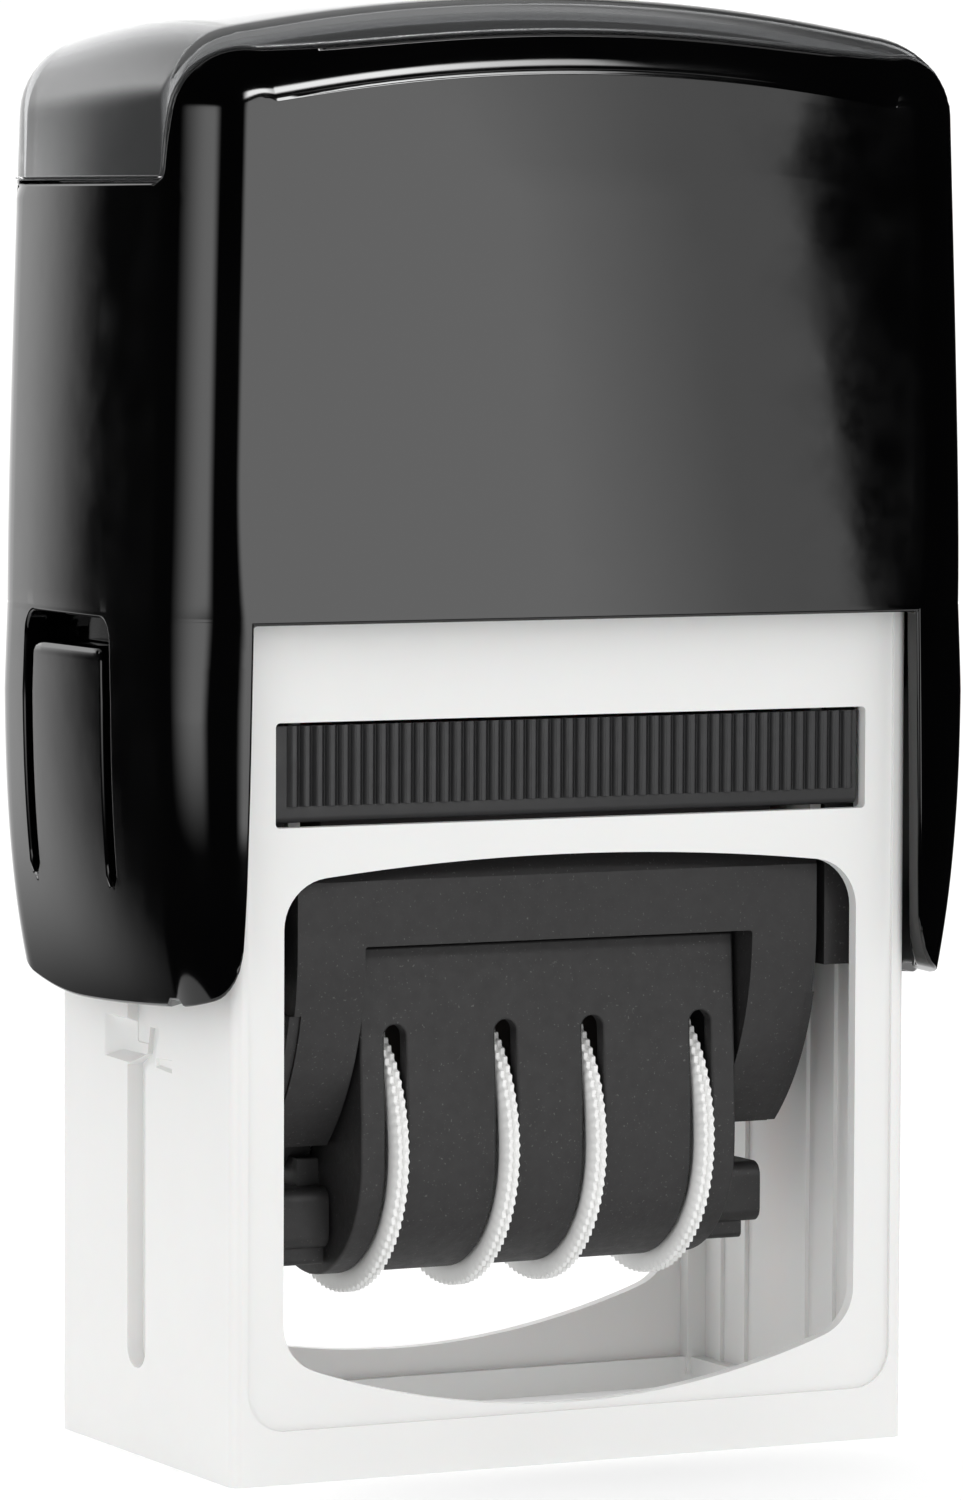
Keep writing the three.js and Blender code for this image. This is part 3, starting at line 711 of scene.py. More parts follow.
def skirt_height(z, q):
    """Carries the lowest rows to the skirt's curved lower edge with its rounded corners and its notch."""
    if z >= FREE_Z:
        return z
    reach = SECTION_END - abs(q)
    if q > EDGE_LOW:
        along = (q - EDGE_LOW) / (SECTION_END - EDGE_LOW)
        low = SKIRT_Z + EDGE_RISE_BACK * (1 - math.sqrt(max(0.0, 1 - along ** 2)))
    else:
        low = SKIRT_Z + EDGE_RISE_FRONT * ((EDGE_LOW - q) / (SECTION_END + EDGE_LOW)) ** 1.5
    if reach < CORNER_DROP and q < 0:
        low += CORNER_DROP - math.sqrt(max(0.0, CORNER_DROP ** 2 - (CORNER_DROP - reach) ** 2))
    share = (FREE_Z - z) / (FREE_Z - SKIRT_Z)
    if NOTCH["from"] < q < NOTCH["to"]:
        low += NOTCH["height"]
    return z + (low - SKIRT_Z) * share


class Sheet:
    """Collects points and faces of a surface that gets a wall thickness."""

    def __init__(self):
        self.points, self.keys, self.faces = [], {}, []

    def point(self, key, make):
        if key not in self.keys:
            self.keys[key] = len(self.points)
            self.points.append(make())
        return self.keys[key]

    def face(self, *corners):
        self.faces.append(tuple(corners))


def front_face(sheet, side, level_key, inset):
    """The front (side -1) or back (side 1) panel, filled in between the outline's sides, top and foot."""
    line = 0 if side < 0 else len(LINES) - 1
    q = LINES[line]
    left = list(range(PANEL_ROW, CORNER_ROW + 1))
    right = [ROWS - 1 - i for i in left]
    top = list(range(CORNER_ROW, ROWS - CORNER_ROW))
    up, across = len(left) - 1, len(top) - 1

    def edge(row):
        x, _, z = cover_point(row, q, 0)
        return np.array((x, z))

    low_left, low_right = edge(left[0]), edge(right[0])
    top_left, top_right = edge(top[0]), edge(top[-1])

    def index(i, j):
        if j == 0:
            return sheet.keys[(level_key, left[i], line)]
        if j == across:
            return sheet.keys[(level_key, right[i], line)]
        if i == up:
            return sheet.keys[(level_key, top[j], line)]
        u, v = j / across, i / up

        def make():
            foot = low_left * (1 - u) + low_right * u
            corners = (1 - v) * foot + v * (top_left * (1 - u) + top_right * u)
            sides = (1 - u) * edge(left[i]) + u * edge(right[i])
            ends = (1 - v) * foot + v * edge(top[j])
            x, z = sides + ends - corners
            if i < up / 3:
                z = edge(left[i])[1]
            reach = 1 - (x / low_right[0]) ** 2
            lift = min(1.0, max(0.0, (TOP_Z - FILLET - z) / 10))
            y = half_depth(z) + FRONT_BULGE * max(0.0, reach) * lift - inset
            return x, side * y, z

        return sheet.point((level_key, "panel", side, i, j), make)

    for i in range(up):
        for j in range(across):
            corners = (index(i, j), index(i, j + 1), index(i + 1, j + 1), index(i + 1, j))
            sheet.face(*(corners if side > 0 else reversed(corners)))


def is_open(row, line):
    """True where the cover's side is slit round the tongue."""
    z = (LEVELS[row] + LEVELS[row + 1]) / 2
    if OUTLINE[row][0] * OUTLINE[row + 1][0] < 0 or z > TONGUE["open"] or z < TONGUE["root"]:
        return False
    q = abs((LINES[line] + LINES[line + 1]) / 2 - TONGUE["y"])
    if q > TONGUE["half"] + TONGUE["slit"]:
        return False
    return q > TONGUE["half"] or z > TONGUE["tip"]


def in_zone(row, line):
    z = (LEVELS[row] + LEVELS[row + 1]) / 2
    return z > LEG_Z and FRONT_LINE <= line < BACK_LINE


def walled(outer, inner):
    """Closes an outer and an inner sheet with the same faces into a wall with rims."""
    count = len(outer.points)
    faces = list(outer.faces) + [tuple(count + i for i in reversed(f)) for f in outer.faces]
    edges = {}
    for f in outer.faces:
        for a, b in zip(f, f[1:] + f[:1]):
            edges[(a, b)] = True
    for a, b in edges:
        if (b, a) not in edges:
            faces.append((b, a, count + a, count + b))
    return outer.points + inner.points, faces


def cover_sheet(depth):
    """The cover's surface with the cap's recess in it, moved in by depth."""
    sheet = Sheet()
    lines = len(LINES)

    def vertex(row, line, level):
        inset = depth + RECESS * level

        def make():
            q = warped(row, line)
            if LEVELS[row] > SEAM_Z:
                return cover_point(row, q, inset)
            q, height = softened(q, skirt_height(LEVELS[row], q))
            return cover_point(row, q, inset + lip(q, LEVELS[row]), height)

        return sheet.point((level, row, line), make)

    for row in range(ROWS - 1):
        for line in range(lines - 1):
            if is_open(row, line):
                continue
            level = 1 if in_zone(row, line) else 0
            spots = ((row, line), (row, line + 1), (row + 1, line + 1), (row + 1, line))
            sheet.face(*(vertex(r, k, level) for r, k in spots))
            if level:
                continue
            for (r0, k0), (r1, k1), (dr, dk) in (
                (spots[0], spots[1], (-1, 0)), (spots[1], spots[2], (0, 1)),
                (spots[2], spots[3], (1, 0)), (spots[3], spots[0], (0, -1)),
            ):
                if 0 <= row + dr < ROWS - 1 and 0 <= line + dk < lines - 1 and in_zone(row + dr, line + dk):
                    sheet.face(vertex(r1, k1, 0), vertex(r0, k0, 0), vertex(r0, k0, 1), vertex(r1, k1, 1))
    for side in (-1, 1):
        front_face(sheet, side, 0, depth)
    return sheet


def cap_sheet(depth, shrink=0.18):
    """The clear cap's surface: the zone of the same form, a little smaller all round."""
    sheet = Sheet()

    def vertex(row, line):
        def make():
            x, y, z = cover_point(row, warped(row, line, shrink), depth)
            return x, y, z + (shrink if LEVELS[row] <= LEG_Z + 0.01 else 0)

        return sheet.point((row, line), make)

    for row in range(ROWS - 1):
        for line in range(FRONT_LINE, BACK_LINE):
            if in_zone(row, line):
                spots = ((row, line), (row, line + 1), (row + 1, line + 1), (row + 1, line))
                sheet.face(*(vertex(r, k) for r, k in spots))
    return sheet


def absorb(obj, *others):
    """Puts closed parts into the same mesh without cutting them together."""
    work = bmesh.new()
    work.from_mesh(obj.data)
    for other in others:
        work.from_mesh(other.data)
        bpy.data.objects.remove(other)
    work.to_mesh(obj.data)
    work.free()
    return obj


def shell(name, outer, inner, *others):
    """The wall between two sheets, with other closed parts in the same mesh, and its edges rounded."""
    points, faces = walled(outer, inner)
    obj = solid(name, points, faces)
    absorb(obj, *others)
    obj.data.shade_smooth()
    round_edges(obj, SHELL_EDGE, 3, SHELL_ANGLE, clamp=False)
    even_normals(obj)
    return obj


POCKET = {"margin": 1.4, "rib": 0.7, "low": 60.0, "high": 69.6, "back": 32.1, "face": 32.8, "front": 34.2}
KEY = {"y": (0.4, 3.1), "z": (39.5, 45.0), "x": (29.2, 32.6)}  # runs in the base's groove
LUG = {"places": (6.0, -1.3), "width": 3.4, "z": (103.0, 104.0), "x": (31.0, 32.45)}  # snap lug of the cap


def make_cover():
    extras = []
    near, far = SLITS[0] - POCKET["margin"], SLITS[3] + POCKET["margin"]
    for side in (1, -1):
        # a pocket behind the tongue: its back, two side ribs and a roof
        back = span(side, POCKET["back"], POCKET["face"])
        extras.append(prism(rect(near, far, POCKET["low"], POCKET["high"], 0.8), "x", *back))
        deep = span(side, POCKET["face"] - 0.5, POCKET["front"])
        rib_z = (POCKET["low"] + 0.4, POCKET["high"] - 0.4)
        for rib_y in (near, far - POCKET["rib"]):
            extras.append(block(deep, (rib_y, rib_y + POCKET["rib"]), rib_z))
        extras.append(block(deep, (near + 0.4, far - 0.4), (POCKET["high"] - POCKET["rib"], POCKET["high"])))
        extras.append(prism(rect(*KEY["y"], *KEY["z"], 0.6), "x", *span(side, *KEY["x"])))
        for lug_y in LUG["places"]:
            lug = rect(lug_y, lug_y + LUG["width"], *LUG["z"], 0.2)
            extras.append(prism(lug, "x", *span(side, *LUG["x"])))
    obj = shell("cover_shell_moulding", cover_sheet(0.0), cover_sheet(WALL), *extras)
    return piece(obj, "cover", "gloss_black", "cover_shell")


def make_cap():
    obj = shell("index_cap_moulding", cap_sheet(0.0), cap_sheet(CAP_WALL))
    return piece(obj, "cap", "smoky_clear", "index_cap")


# ------------------------------------------------------------------ base frame

BASE_X, BASE_Y, BASE_Z = BASE_HIGH.x, BASE_HIGH.y, 67.3
SIDE_WALL, FACE_WALL, DECK = 1.7, 1.4, 1.8
DECK_Z = BASE_Z - DECK
INNER_X, INNER_Y = BASE_X - SIDE_WALL, BASE_Y - FACE_WALL
ARM_INNER, ARM_HALF_DEPTH = 24.2, 13.5
WINDOW = {"half": 25.5, "low": 4.8, "low_curve": 0.0075, "high": 48.6, "high_curve": 0.0025, "corner": 4.0}
PAD_SLOT = (-26.25, 26.25, 51.4, 59.6)       # left, right, low, high
BACK_SLOT = (-18, 18, 53, 58)
PRINT_OPENING = (-27, 27, -14.5, 14.5)
BORDER = {"side": 1.3, "low": 4.2, "corner": 3.2, "step": 0.3}  # of the faces above the plinth
POST_RADIUS = 4.8
RIB_PLACES = (-8.6, -4.0, 6.4, 10.6)
OVERLAP = 0.5                                # of joined parts


def window_outline():
    half, corner = WINDOW["half"], WINDOW["corner"]
    low = [(x, WINDOW["low"] + WINDOW["low_curve"] * x * x) for x in between(-half, half, 40)]
    high = [(x, WINDOW["high"] - WINDOW["high_curve"] * x * x) for x in between(half, -half, 40)]
    outline = []
    for edge in (low, high):
        middle = [p for p in edge if abs(p[0]) < half - corner + 0.6]
        outline += [edge[0] + (corner,)] + middle + [edge[-1] + (corner,)]
    return rounded(outline, 10)


def sunk(outer, inner, depth, side):
    """A pocket in an end wall with sloping walls, as a closed cutter. Both loops are in (Y, Z)."""
    out_x, in_x = side * (BASE_X + 0.02), side * (BASE_X - depth)
    return loft([(out_x, *p) for p in outer], [(in_x, *p) for p in inner])


def base_side(side):
    """All that is cut from one end wall: the guide groove, its flare, two recesses and the yoke's slot."""
    outside = BASE_X + 1
    channel = rounded([
        (3.4, 7.0, 1.65), (3.4, 31.2), (1.5, 32.2), (1.0, 34.8), (1.0, 62.0), (0.0, 62.0), (0.0, 34.9, 0.4),
        (-1.35, 34.6), (-1.2, 31.75), (-0.1, 31.1), (-0.1, 7.0, 1.65),
    ], 8)
    deep = [(-1.3, 34.6), (-2.75, 34.65), (-1.95, 31.95), (-1.15, 31.7)]
    arm_depth = ARM_HALF_DEPTH + 0.4
    back_rim = [(0.9, 31.3), (7.9, 31.5), (7.8, 34.95), (0.9, 34.95)]
    back_floor = [(0.9, 32.1), (6.3, 32.1), (6.1, 34.6), (0.9, 34.6)]
    front_rim = [(-5.2, 31.3), (-2.1, 31.5), (-2.2, 32.3), (-5.2, 32.4)]
    front_floor = [(-5.0, 31.6), (-2.3, 31.7), (-2.4, 32.2), (-5.0, 32.3)]
    return [
        prism(channel, "x", *span(side, BASE_X - 1.35, outside)),
        prism(rect(0.9, 3.4, 33.0, 62.0, 0.3), "x", *span(side, BASE_X - 0.95, outside)),
        sunk(back_rim, back_floor, 0.9, side),
        prism(deep, "x", *span(side, INNER_X - OVERLAP, outside)),
        sunk(front_rim, front_floor, 0.25, side),
        block(span(side, ARM_INNER - 0.3, INNER_X), (-arm_depth, arm_depth), (DECK_Z - 1, BASE_Z + 1)),
    ]


def make_base():
    x, y = BASE_X, BASE_Y
    obj = prism(rect(-x, x, -y, y, 0.9), "z", 0, BASE_Z)
    # the faces above the plinth stand back a little, inside a soft border
    border = BORDER["side"]
    for side in (-1, 1):
        panel = rect(-x + border, x - border, BORDER["low"], BASE_Z + 5, BORDER["corner"])
        cut(obj, prism(panel, "y", *span(side, y - BORDER["step"], y + 2)))
    cut(
        obj,
        block((-INNER_X, INNER_X), (-INNER_Y, INNER_Y), (2.5, DECK_Z)),
        prism(rect(*PRINT_OPENING, 1.0), "z", -1, 3),
        prism(window_outline(), "y", -y - 5, y + 5),
        prism(rect(*PAD_SLOT, 0.35, 3), "y", -y - 1, -INNER_Y + 1),
        prism(rect(*BACK_SLOT, 0.35, 3), "y", INNER_Y - 1, y + 1),
    )
    for side in (1, -1):
        cut(obj, *base_side(side))
    parts = []
    reach_x, reach_y, reach_z = INNER_X + OVERLAP, INNER_Y + OVERLAP, DECK_Z + OVERLAP
    for side in (1, -1):
        # a wall of the pad's bay, the yoke's two guides and the ribs of the end wall
        parts.append(block(span(side, 22.8, 23.8), (-ARM_HALF_DEPTH, reach_y), (50.6, reach_z)))
        for end in (1, -1):
            guide_y = span(end, ARM_HALF_DEPTH + 0.4, reach_y)
            parts.append(block(span(side, 26.6, reach_x), guide_y, (1, reach_z)))
        for rib_y in RIB_PLACES:
            parts.append(block(span(side, INNER_X - 0.35, reach_x), (rib_y, rib_y + 0.9), (2.0, 60)))
    parts.append(prism(circle((0, 0), POST_RADIUS), "z", BASE_Z - OVERLAP, BASE_HIGH.z))
    join(obj, *parts)
    hard_surface(obj, "base_frame_moulding", 0.28)
    return piece(obj, "base", "white_plastic", "base_frame")


# ------------------------------------------------------------------ ink pad


def make_tray():
    half, face, back = TRAY_HIGH.x, -15.5, -13.85
    low, high, lip = TRAY_LOW.z, 59.3, 53.0
    rib_start, ribs, rib = -24.9, 46, 0.4
    pitch = (half - 0.3 - rib_start) / ribs
    line = [(-half, back), (-half, face), (rib_start, face)]
    # one rib: (share of the pitch, share of its height)
    rib_shape = ((0.18, 0.75), (0.3, 1), (0.62, 1), (0.76, 0.75), (0.94, 0), (1.0, 0))
    for i in range(ribs):
        x = rib_start + i * pitch
        line += [(x + pitch * s, face - rib * d) for s, d in rib_shape]
    line += [(half, face), (half, back)]
    grip = prism(line, "z", lip, high)
    lower_line = rounded([(back, low), (face, low, 0.5), (face, lip + 0.1), (back, lip + 0.1)], 5)
    lower = prism(lower_line, "x", -half, half)
    body = block((-22.4, 22.4), (back - 0.2, 14.9), (52.3, 59.1))
    tab = block((-17.5, 17.5), (14.4, TRAY_HIGH.y), (53.4, 57.6))
    join(grip, lower, body, tab)
    cut(
        grip,
        block((-20.8, 20.8), (-12.9, 12.9), (50, 54.5)),
        prism(rect(-19, 19, -11, 11, 1.5), "z", 56.6, 61),
    )
    hard_surface(grip, "ink_pad_cartridge", 0.12, 2)
    return piece(grip, "pad", "pad_black", "ink_pad_tray")


def make_felt():
    """A felt block with a softly crowned and slightly uneven inking face."""
    nx, ny = 56, 36
    half_x, half_y = FELT_HIGH.x, FELT_HIGH.y
    points, faces = [], []

    def spot(i, j, under):
        u, v = 2 * i / nx - 1, 2 * j / ny - 1
        edge = min(1.0, (1 - max(abs(u), abs(v))) * 14)
        swell = 0.22 * (1 - math.sqrt(1 - (1 - edge) ** 2)) if under else 0.0
        wave = 0.03 * math.sin(i * 1.7) * math.sin(j * 2.3) if under else 0.0
        z = FELT_LOW.z + swell + abs(wave) if under else FELT_HIGH.z
        return u * half_x, v * half_y, z

    for under in (True, False):
        points += [spot(i, j, under) for i in range(nx + 1) for j in range(ny + 1)]
    size = (nx + 1) * (ny + 1)

    def at(i, j, layer):
        return layer * size + i * (ny + 1) + j

    for i in range(nx):
        for j in range(ny):
            faces.append((at(i, j, 0), at(i, j + 1, 0), at(i + 1, j + 1, 0), at(i + 1, j, 0)))
            faces.append((at(i, j, 1), at(i + 1, j, 1), at(i + 1, j + 1, 1), at(i, j + 1, 1)))
    rim = [(i, 0) for i in range(nx)] + [(nx, j) for j in range(ny)]
    rim += [(i, ny) for i in range(nx, 0, -1)] + [(0, j) for j in range(ny, 0, -1)]
    for k, (i, j) in enumerate(rim):
        i2, j2 = rim[(k + 1) % len(rim)]
        faces.append((at(i, j, 0), at(i2, j2, 0), at(i2, j2, 1), at(i, j, 1)))
    obj = solid("ink_felt", points, faces)
    obj.data.shade_smooth()
    return piece(obj, "pad", "felt", "ink_pad_felt")


# ------------------------------------------------------------------ spring


def make_spring():
    wire, turns, sides, steps = 0.6, 8.0, 12, 40
    radius = SPRING_HIGH.x - wire
    low, high = SPRING_LOW.z + wire, SPRING_HIGH.z - wire
    ring_count = int(turns * steps)
    points, faces = [], []
    for i in range(ring_count + 1):
        t = i / ring_count
        angle = 2 * math.pi * turns * t
        # closed end turns: the coil climbs slowly at both ends
        climb = t - 0.055 * math.sin(2 * math.pi * t)
        centre = Vector((radius * math.cos(angle), radius * math.sin(angle), low + (high - low) * climb))
        out = Vector((math.cos(angle), math.sin(angle), 0))
        for k in range(sides):
            a = 2 * math.pi * k / sides
            points.append(tuple(centre + wire * (math.cos(a) * out + math.sin(a) * Vector((0, 0, 1)))))
    for i in range(ring_count):
        for k in range(sides):
            k2 = (k + 1) % sides
            faces.append((i * sides + k, i * sides + k2, (i + 1) * sides + k2, (i + 1) * sides + k))
    faces.append(tuple(range(sides)))
    faces.append(tuple(ring_count * sides + k for k in range(sides)))
    obj = solid("main_spring_coil", points, faces)
    obj.data.shade_smooth()
    piece(obj, "base", "steel", "main_spring")
    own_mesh(obj)
    return obj


# ------------------------------------------------------------------ die carriage

HOOD = {
    "half": 23.2, "cheek_in": 22.6, "cheek": 23.5, "wall": 1.5, "front": 14.0, "deck": 47.7, "top": 48.9,
    "rim": 12.6, "chamfer": 46.8, "bend": 41.5, "arc": 22.5, "bottom": 25.2, "step": 36.3, "cut": 17.3,
    "cut_top": 41.6, "pin_hole": 2.5,
}


def hood_profile(inset, low, high):
    """The hood's section in (Y, Z): upright at the top and curving back towards its lower edge."""
    centre = HOOD["arc"] - HOOD["front"]
    radius = HOOD["arc"] - inset
    heights = [low + (min(high, HOOD["bend"]) - low) * i / 16 for i in range(17)]
    front = [(centre - math.sqrt(radius ** 2 - (z - HOOD["bend"]) ** 2), z) for z in heights]
    if high > HOOD["bend"]:
        front.append((-HOOD["front"] + inset, HOOD["chamfer"] - inset * 0.4))
        front.append((-HOOD["rim"] + inset, high))
    return front + [(-y, z) for y, z in reversed(front)]


def make_holder():
    h = HOOD
    obj = prism(hood_profile(0, h["bottom"], h["top"]), "x", -h["half"], h["half"])
    inner = h["half"] - h["wall"]
    cut(
        obj,
        prism(hood_profile(h["wall"], h["bottom"] - 1, h["deck"] - h["wall"]), "x", -inner, inner),
        block((-20.8, 20.8), (-12.3, 12.3), (h["deck"], h["top"] + 1)),
        prism(rect(-h["cut"], h["cut"], 10, h["cut_top"], 0.2, 2), "y", -20, 20),
        block((-13.5, 13.5), (-4.4, 3.9), (h["deck"] - 4, h["deck"] + 1)),
        bar_x(0, PIVOT_Z, h["pin_hole"], (-30, 30)),
    )
    for side in (1, -1):
        cut(obj, prism(rect(-30, 30, 0, h["step"]), "x", *span(side, h["cheek_in"], h["half"] + 1)))
        cheek_x = span(side, h["cheek_in"] - 0.9, h["cheek"])
        cheek = prism(hood_profile(0.22, h["bottom"], h["step"]), "x", *cheek_x)
        # the side boxes of the hood are closed towards the shield
        wall_x = span(side, h["cut"], h["cut"] + 1.2)
        wall = prism(hood_profile(0.5, h["bottom"] + 0.3, h["bend"]), "x", *wall_x)
        join(obj, cheek, wall)
        cut(obj, bar_x(0, PIVOT_Z, h["pin_hole"], span(side, 20, 30)))
    hard_surface(obj, "die_holder_hood", 0.2)
    return piece(obj, "carriage", "matt_black", "die_holder")


SHIELD = {"half": 16.8, "wall": 1.3, "y": -2.4, "z": 24.2, "radius": 9.9, "slot": 1.9, "slot_top": 35.1}
WHEEL_NAMES = ("month", "day_tens", "day_units", "year")
WHEEL_PLACES = (-13.7, -3.9, 3.9, 13.7)
DRUM_ENDS = (-5.0, -0.3, 0.3, 5.0)


def trough(inset, high):
    s = SHIELD
    radius = s["radius"] - inset
    front = [(s["y"] - radius + 0.75, high), (s["y"] - radius, 28.0)]
    return front + arc((s["y"], s["z"]), radius, 180, 360, 40) + [(s["y"] + radius, high)]


def make_shield():
    s = SHIELD
    obj = prism(trough(0, SHIELD_HIGH.z), "x", -s["half"], s["half"])
    half_slot = s["slot"] / 2
    slots = [
        prism(rect(x - half_slot, x + half_slot, 5, s["slot_top"], half_slot - 0.01), "y", -20, 20)
        for x in WHEEL_PLACES
    ]
    cut(
        obj,
        prism(trough(s["wall"], SHIELD_HIGH.z + 1), "x", -s["half"] + s["wall"], s["half"] - s["wall"]),
        *slots,
        bar_x(WHEEL_Y, WHEEL_Z, 1.7, (-30, 30)),
    )
    hard_surface(obj, "date_shield_moulding", 0.25)
    return piece(obj, "carriage", "matt_black", "date_shield")


def make_latch(side):
    """The clip at one end of the shield: a block with a lip below it and a neck up to the axle's boss."""
    inner = 17.1
    obj = prism(rect(-7.0, -0.4, 16.9, 21.8, 1.1), "x", *span(side, inner, 22.0))
    lip_part = prism(rect(-6.0, -1.4, 15.5, 17.4, 0.5), "x", *span(side, inner, 20.8))
    boss = bar_x(WHEEL_Y, WHEEL_Z, 2.1, span(side, inner, 19.9))
    neck = prism(rect(-5.0, -2.0, 21.5, 24.0, 0.2), "x", *span(side, inner, 19.0))
    join(obj, lip_part, boss, neck)
    end = "right" if side > 0 else "left"
    hard_surface(obj, f"shield_latch_clip_{end}", 0.3)
    return piece(obj, "carriage", "matt_black", f"shield_latch_{end}")


def make_wheel(name, x, drum):
    """A date wheel: a rim with two staggered rows of fine teeth, a web, and a drum on one side."""
    teeth, per_tooth = 94, 8
    count = teeth * per_tooth
    radius, tooth, half = 12.2, 0.26, 0.65
    side = 1 if drum > x else -1
    drum_radius, bore = 6.0, 1.7

    def reach(i, row):
        phase = 2 * math.pi * (i / per_tooth + 0.5 * row)
        return radius - tooth * (0.5 - 0.5 * math.cos(phase)) ** 0.8

    def plain(r):
        return [r] * count

    def toothed(row, below):
        return [reach(i, row) - below for i in range(count)]

    # (place along the axis, radii round it), from the bore round the rim and back
    web, web_radius, rim_radius = half - 0.25, 10.2, 10.6
    row_edges = ((half - 0.12, 0.16), (half - 0.2, 0.0), (0.14, 0.0), (0.05, 0.18))
    rings = [(-half, plain(bore)), (-half, plain(3.2)), (-web, plain(3.5)), (-web, plain(web_radius))]
    rings += [(-half, plain(rim_radius)), (-half, plain(radius - 0.62))]
    rings += [(-at, toothed(0, below)) for at, below in row_edges]
    rings += [(0, plain(radius - 0.42))]
    rings += [(at, toothed(1, below)) for at, below in reversed(row_edges)]
    rings += [(half, plain(radius - 0.62)), (half, plain(rim_radius)), (web, plain(web_radius))]
    rings += [(web, plain(drum_radius + 0.3)), (half, plain(drum_radius))]
    far = side * (drum - x)
    rings += [(far - 0.2, plain(drum_radius)), (far, plain(drum_radius - 0.2)), (far, plain(bore))]
    points, faces = [], []
    for place, radii in rings:
        for i, r in enumerate(radii):
            a = 2 * math.pi * i / count
            points.append((x + side * place, WHEEL_Y + r * math.cos(a), WHEEL_Z + r * math.sin(a)))
    total = len(rings)
    for k in range(total):
        for i in range(count):
            i2 = (i + 1) % count
            k2 = (k + 1) % total
            faces.append((k * count + i, k * count + i2, k2 * count + i2, k2 * count + i))
    obj = solid(f"{name}_thumbwheel", points, faces)
    obj.data.shade_smooth()
    sharpen(obj, 42)
    return piece(obj, f"{name}_dial", "grey_plastic", f"{name}_wheel")


def sharpen(obj, angle):
    """Marks edges sharper than an angle so that smooth shading stops at them."""
    work = bmesh.new()
    work.from_mesh(obj.data)
    for edge in work.edges:
        if len(edge.link_faces) == 2 and edge.calc_face_angle() > math.radians(angle):
            edge.smooth = False
    work.to_mesh(obj.data)
    work.free()


def keep_cad(node, slot, bevel=0.15):
    """A CAD node whose shape is right stays, with rounded edges and a real material."""
    obj = frame["nodes"][node]
    obj.data.materials.clear()
    obj.data.materials.append(MATERIALS[slot])
    weld = obj.modifiers.new("weld", "WELD")
    weld.merge_threshold = 0.001 * MM
    modifier = obj.modifiers.new("flat", "DECIMATE")
    modifier.decimate_type = "DISSOLVE"
    modifier.angle_limit = math.radians(0.5)
    round_edges(obj, bevel, 2)


# ------------------------------------------------------------------ build

make_base()
make_tray()
make_felt()
make_cover()
make_cap()
make_spring()
make_holder()
make_shield()
make_latch(1)
make_latch(-1)
for wheel_name, wheel_x, drum_end in zip(WHEEL_NAMES, WHEEL_PLACES, DRUM_ENDS):
    make_wheel(wheel_name, wheel_x, drum_end)
for kept, kept_slot in (
    ("yoke_frame", "matt_black"), ("pivot_pin_right", "steel"), ("pivot_pin_left", "steel"),
    ("text_plate", "grey_plastic"), ("rubber_die", "die_rubber"), ("band_anvil", "grey_plastic"),
    ("wheel_axle", "steel"), ("month_band", "band_rubber"), ("day_tens_band", "band_rubber"),
    ("day_units_band", "band_rubber"), ("year_band", "band_rubber"),
):
    keep_cad(kept, kept_slot)


# ------------------------------------------------------------------ floor, light and camera


FLOOR_RADIUS = 140
STUDIO = {"diffuse": 1.08, "glossy": 0.004}


def make_floor():
    floor = prism(circle((0, 0), FLOOR_RADIUS, 96), "z", -2.0, 0.0)
    floor.name = "floor"
    n = Nodes("floor")
    n.link(n.blend(n.noise(8, 2), (0.95, 0.95, 0.95), (0.965, 0.965, 0.965)), n.shader.inputs["Base Color"])
    n.set(Roughness=0.9, Specular_IOR_Level=0.1, Emission_Color=(1.0, 1.0, 1.0, 1.0), Emission_Strength=0.17)
    floor.data.materials.append(n.material)


def make_world():
    """White all round for soft light; glossy surfaces see a dark room in which only the softboxes glow."""
    world = bpy.data.worlds.new("studio")
    bpy.context.scene.world = world
    world.use_nodes = True
    tree = world.node_tree
    tree.nodes.clear()
    output = tree.nodes.new("ShaderNodeOutputWorld")
    ray = tree.nodes.new("ShaderNodeLightPath")
    mix = tree.nodes.new("ShaderNodeMixShader")
    tree.links.new(ray.outputs["Is Glossy Ray"], mix.inputs["Fac"])
    for socket, strength in ((1, STUDIO["diffuse"]), (2, STUDIO["glossy"])):
        background = tree.nodes.new("ShaderNodeBackground")
        background.inputs["Color"].default_value = (1.0, 1.0, 1.0, 1.0)
        background.inputs["Strength"].default_value = strength
        tree.links.new(background.outputs["Background"], mix.inputs[socket])
    tree.links.new(mix.outputs["Shader"], output.inputs["Surface"])


class Glow(Nodes):
    """The glow of a softbox: a strength that runs from one side to the other and fades at the four edges."""

    def __init__(self, name):
        self.material = bpy.data.materials.new(name)
        self.material.use_nodes = True
        self.tree = self.material.node_tree
        self.tree.nodes.clear()
        output = self.tree.nodes.new("ShaderNodeOutputMaterial")
        self.emission = self.tree.nodes.new("ShaderNodeEmission")
        self.link(self.emission.outputs[0], output.inputs["Surface"])
        coordinates = self.tree.nodes.new("ShaderNodeTexCoord")
        parts = self.tree.nodes.new("ShaderNodeSeparateXYZ")
        self.link(coordinates.outputs["UV"], parts.inputs[0])
        self.across, self.up = parts.outputs["X"], parts.outputs["Y"]

    def times(self, a, b):
        node = self.tree.nodes.new("ShaderNodeMath")
        node.operation = "MULTIPLY"
        self.link(a, node.inputs[0])
        self.link(b, node.inputs[1])
        return node.outputs[0]

    def soft_edge(self, value, start, end):
        out = self.spread(value, start, end, 0.0, 1.0)
        out.node.interpolation_type = "SMOOTHSTEP"
        return out


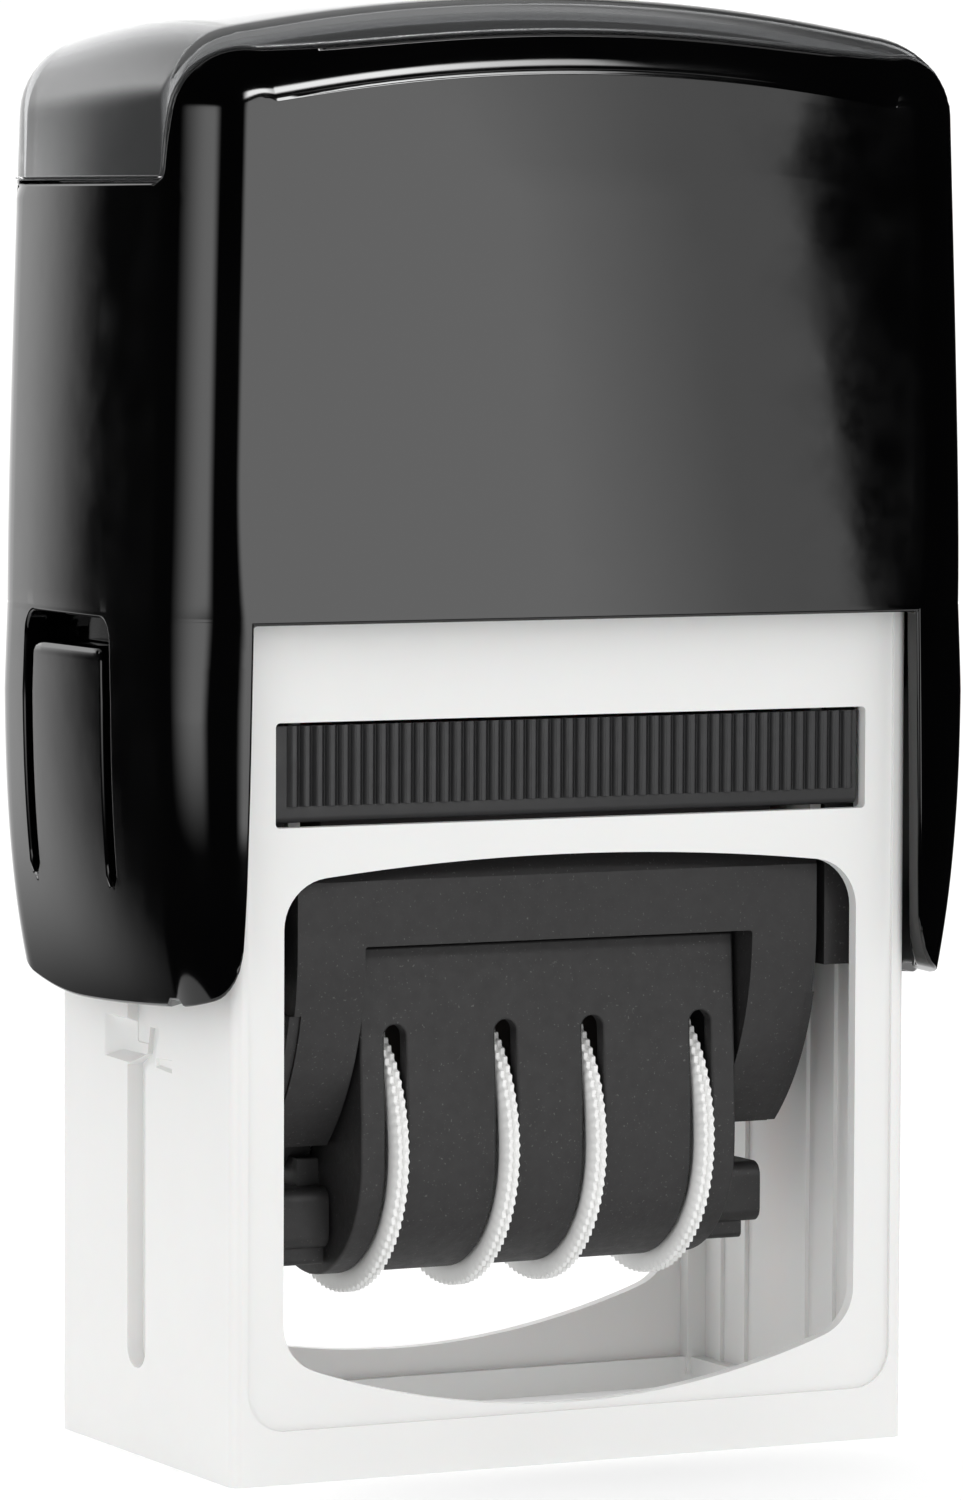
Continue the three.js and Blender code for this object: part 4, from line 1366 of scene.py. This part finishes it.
def softbox(name, centre, facing, size, strength, fade, ramp=(0.0, 1.0), skew=(0.0, 0.0, 0.0)):
    """A glowing panel that only reflections see. Seen from the panel's back, u runs left to right and v up.

    strength holds at the two places of ramp, and fade is the share of the panel that dims at
    (u=0, u=1, v=0, v=1). skew moves the u=0 edge's lower and upper end outwards and its upper end down.
    """
    half_width, half_height = size[0] / 2, size[1] / 2
    low, high, drop = skew
    points = [
        (-half_width - low, -half_height, 0), (half_width, -half_height, 0),
        (half_width, half_height, 0), (-half_width - high, half_height - drop, 0),
    ]
    mesh = mesh_from(name, points, [(0, 1, 2, 3)])
    uv = mesh.uv_layers.new(name="UVMap")
    for loop, place in zip(uv.data, ((0, 0), (1, 0), (1, 1), (0, 1))):
        loop.uv = place
    obj = new_object(name, mesh)
    direction = (Vector(facing) - Vector(centre)).normalized()
    obj.rotation_euler = direction.to_track_quat("Z", "Y").to_euler()
    obj.location = Vector(centre) * MM
    glow = Glow(name)
    total = glow.spread(glow.across, *ramp, *strength)
    near, far, low, high = fade
    for value, start, end in (
        (glow.across, 0.0, near), (glow.across, 1.0, 1.0 - far),
        (glow.up, 0.0, low), (glow.up, 1.0, 1.0 - high),
    ):
        total = glow.times(total, glow.soft_edge(value, start, end))
    glow.link(total, glow.emission.inputs["Strength"])
    mesh.materials.append(glow.material)
    obj.visible_camera = False
    obj.visible_diffuse = False
    obj.visible_shadow = False
    return obj


def around(azimuth, elevation, distance, centre):
    a, e = math.radians(azimuth), math.radians(elevation)
    away = Vector((math.sin(a) * math.cos(e), -math.cos(a) * math.cos(e), math.sin(e)))
    return Vector(centre) + away * distance


def make_lights():
    # front right: the broad glow on the front panel, ending short of its right side
    softbox("softbox_right", around(16.5, 0, 560, (0, 0, 90)), (0, 0, 90), (300, 220), (1.6, 3.0),
            (0.008, 0.3, 0.05, 0.04), ramp=(0.09, 0.22), skew=(22, -17, 14))
    # front left: the band down the corner
    softbox("softbox_left", around(-67, 0, 520, (0, 0, 85)), (0, 0, 85), (760, 250), (3.0, 2.4),
            (0.22, 0.7, 0.3, 0.2))
    # behind: the bright far edge of the side and the sheen on the top
    softbox("backdrop", (141, 620, 260), (141, 0, 260), (920, 880), (2.0, 2.0), (0.065, 0.1, 0.24, 0.6))
    softbox("softbox_top", (0, 330, 520), (0, 329, 0), (760, 620), (0.55, 0.55),
            (0.15, 0.15, 0.1, 0.1))
    # a narrow strip: the thin highlight along the front of the shoulder
    softbox("top_strip", around(14, 18, 560, (0, 0, 112)), (0, 0, 112), (300, 120), (4.0, 20.0),
            (0.06, 0.3, 0.3, 0.3), ramp=(0.0, 0.22))


def make_camera():
    """The view that the fitted camera gave: azimuth -26.7, elevation 4 degrees, a long lens."""
    data = bpy.data.cameras.new("camera")
    data.sensor_width = 36.0
    data.lens = 180.6
    data.clip_start, data.clip_end = 0.01, 20.0
    camera = bpy.data.objects.new("camera", data)
    bpy.context.scene.collection.objects.link(camera)
    target = Vector((-0.155, 0, 55.75))
    place = around(-26.7, 4.0, 609.9, target)
    roll = math.radians(0.22)
    camera.location = place * MM
    look = (target - place).to_track_quat("-Z", "Y").to_matrix() @ Matrix.Rotation(roll, 3, "Z")
    camera.rotation_euler = look.to_euler()
    bpy.context.scene.camera = camera


make_floor()
make_world()
make_lights()
make_camera()
bpy.context.scene.view_settings.view_transform = "Standard"
